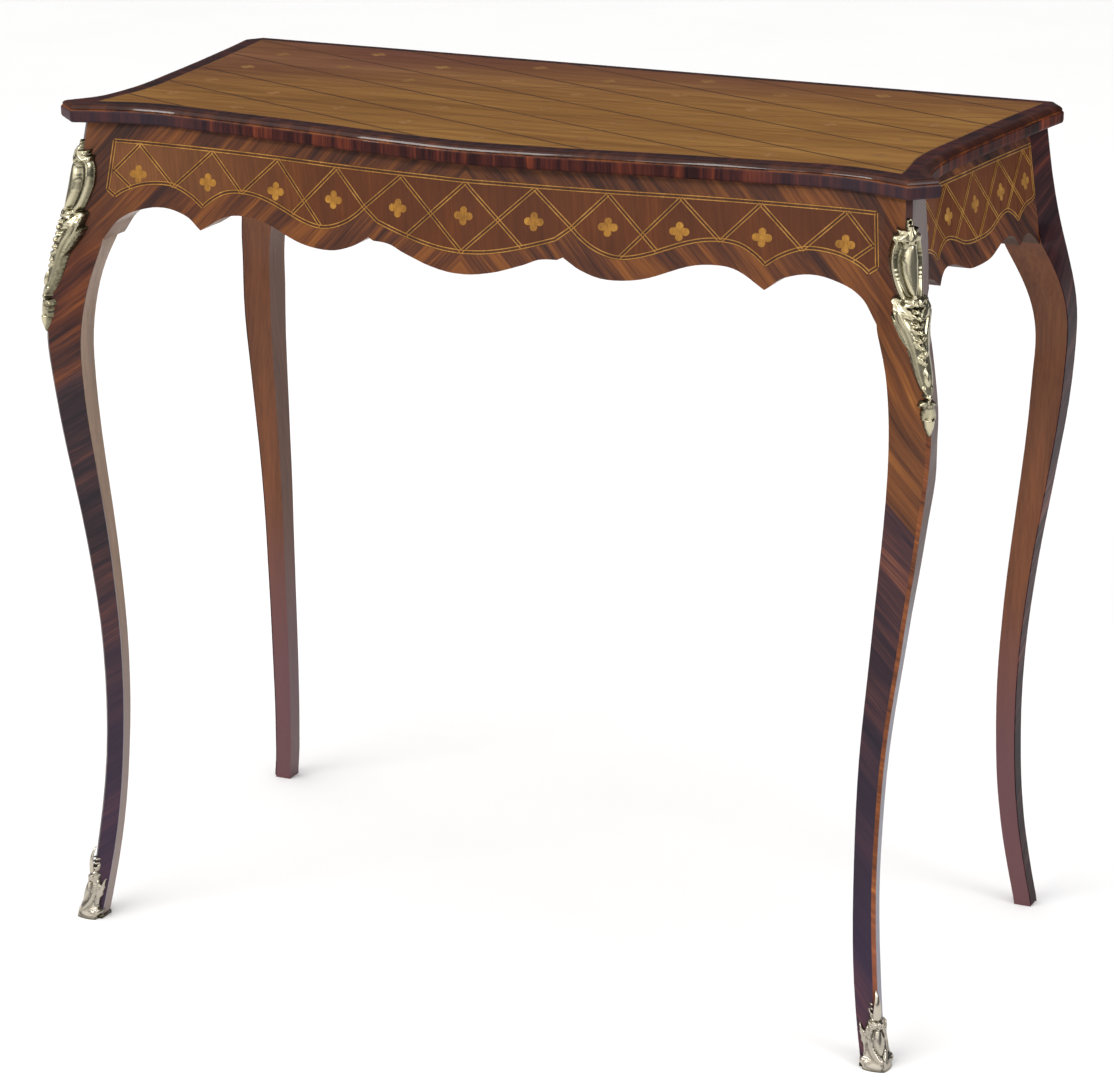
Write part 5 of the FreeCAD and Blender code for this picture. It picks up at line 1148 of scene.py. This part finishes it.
sun = bpy.data.lights.new("sky_sun", "SUN")
sun.energy = 3.02
sun.angle = math.radians(120)
sun.color = (1.0, 0.99, 0.97)
sun_ob = bpy.data.objects.new("sky_sun", sun)
scene.collection.objects.link(sun_ob)
sun_ob.rotation_mode = "QUATERNION"
sun_ob.rotation_quaternion = Vector((0.15, 0.45, -1.0)).to_track_quat("-Z", "Y")
area("front_softbox", (-1.3, -3.2, 2.6), (0, 0, 0.5), (3.2, 0.34), 70, (1.0, 0.98, 0.95))
area("right_softbox", (3.0, -0.9, 2.4), (0, 0, 0.4), (1.2, 1.0), 24, (0.96, 0.97, 1.0))

world = bpy.data.worlds.new("studio")
scene.world = world
world.use_nodes = True
wt = world.node_tree
wt.nodes.clear()
w_out = wt.nodes.new("ShaderNodeOutputWorld")
w_bg = wt.nodes.new("ShaderNodeBackground")
w_tc = wt.nodes.new("ShaderNodeTexCoord")
w_sep = wt.nodes.new("ShaderNodeSeparateXYZ")
wt.links.new(w_tc.outputs["Generated"], w_sep.inputs[0])
w_rng = wt.nodes.new("ShaderNodeMapRange")
w_rng.interpolation_type = "SMOOTHSTEP"
w_rng.inputs["From Min"].default_value = -0.2
w_rng.inputs["From Max"].default_value = 0.8
wt.links.new(w_sep.outputs[1], w_rng.inputs["Value"])
w_ramp = wt.nodes.new("ShaderNodeValToRGB")
w_ramp.color_ramp.elements[0].color = (0.20, 0.205, 0.22, 1)
w_ramp.color_ramp.elements[1].color = (0.13, 0.13, 0.145, 1)
wt.links.new(w_rng.outputs[0], w_ramp.inputs[0])
wt.links.new(w_ramp.outputs[0], w_bg.inputs["Color"])
w_bg.inputs["Strength"].default_value = 0.9
wt.links.new(w_bg.outputs[0], w_out.inputs["Surface"])

FOCAL, AZ, EL, ROLL = 3720.377, 0.438971, 0.314455, -0.006378
EYE = Vector((1.363894, -2.902474, 1.400298))
sa, ca, se, ce = math.sin(AZ), math.cos(AZ), math.sin(EL), math.cos(EL)
back = Vector((sa * ce, -ca * ce, se))
right = Vector((ca, sa, 0.0))
up = back.cross(right)
r2 = math.cos(ROLL) * right + math.sin(ROLL) * up
u2 = -math.sin(ROLL) * right + math.cos(ROLL) * up
cam = bpy.data.cameras.new("camera")
cam.sensor_fit = "HORIZONTAL"
cam.sensor_width = 36.0
cam.lens = FOCAL * 36.0 / 1114.0
cam.clip_start, cam.clip_end = 0.05, 60.0
cam_ob = bpy.data.objects.new("camera", cam)
scene.collection.objects.link(cam_ob)
cam_ob.matrix_world = Matrix(((r2.x, u2.x, back.x, EYE.x), (r2.y, u2.y, back.y, EYE.y), (r2.z, u2.z, back.z, EYE.z), (0, 0, 0, 1)))
scene.camera = cam_ob
scene.view_settings.view_transform = "Standard"
scene.view_settings.look = "None"
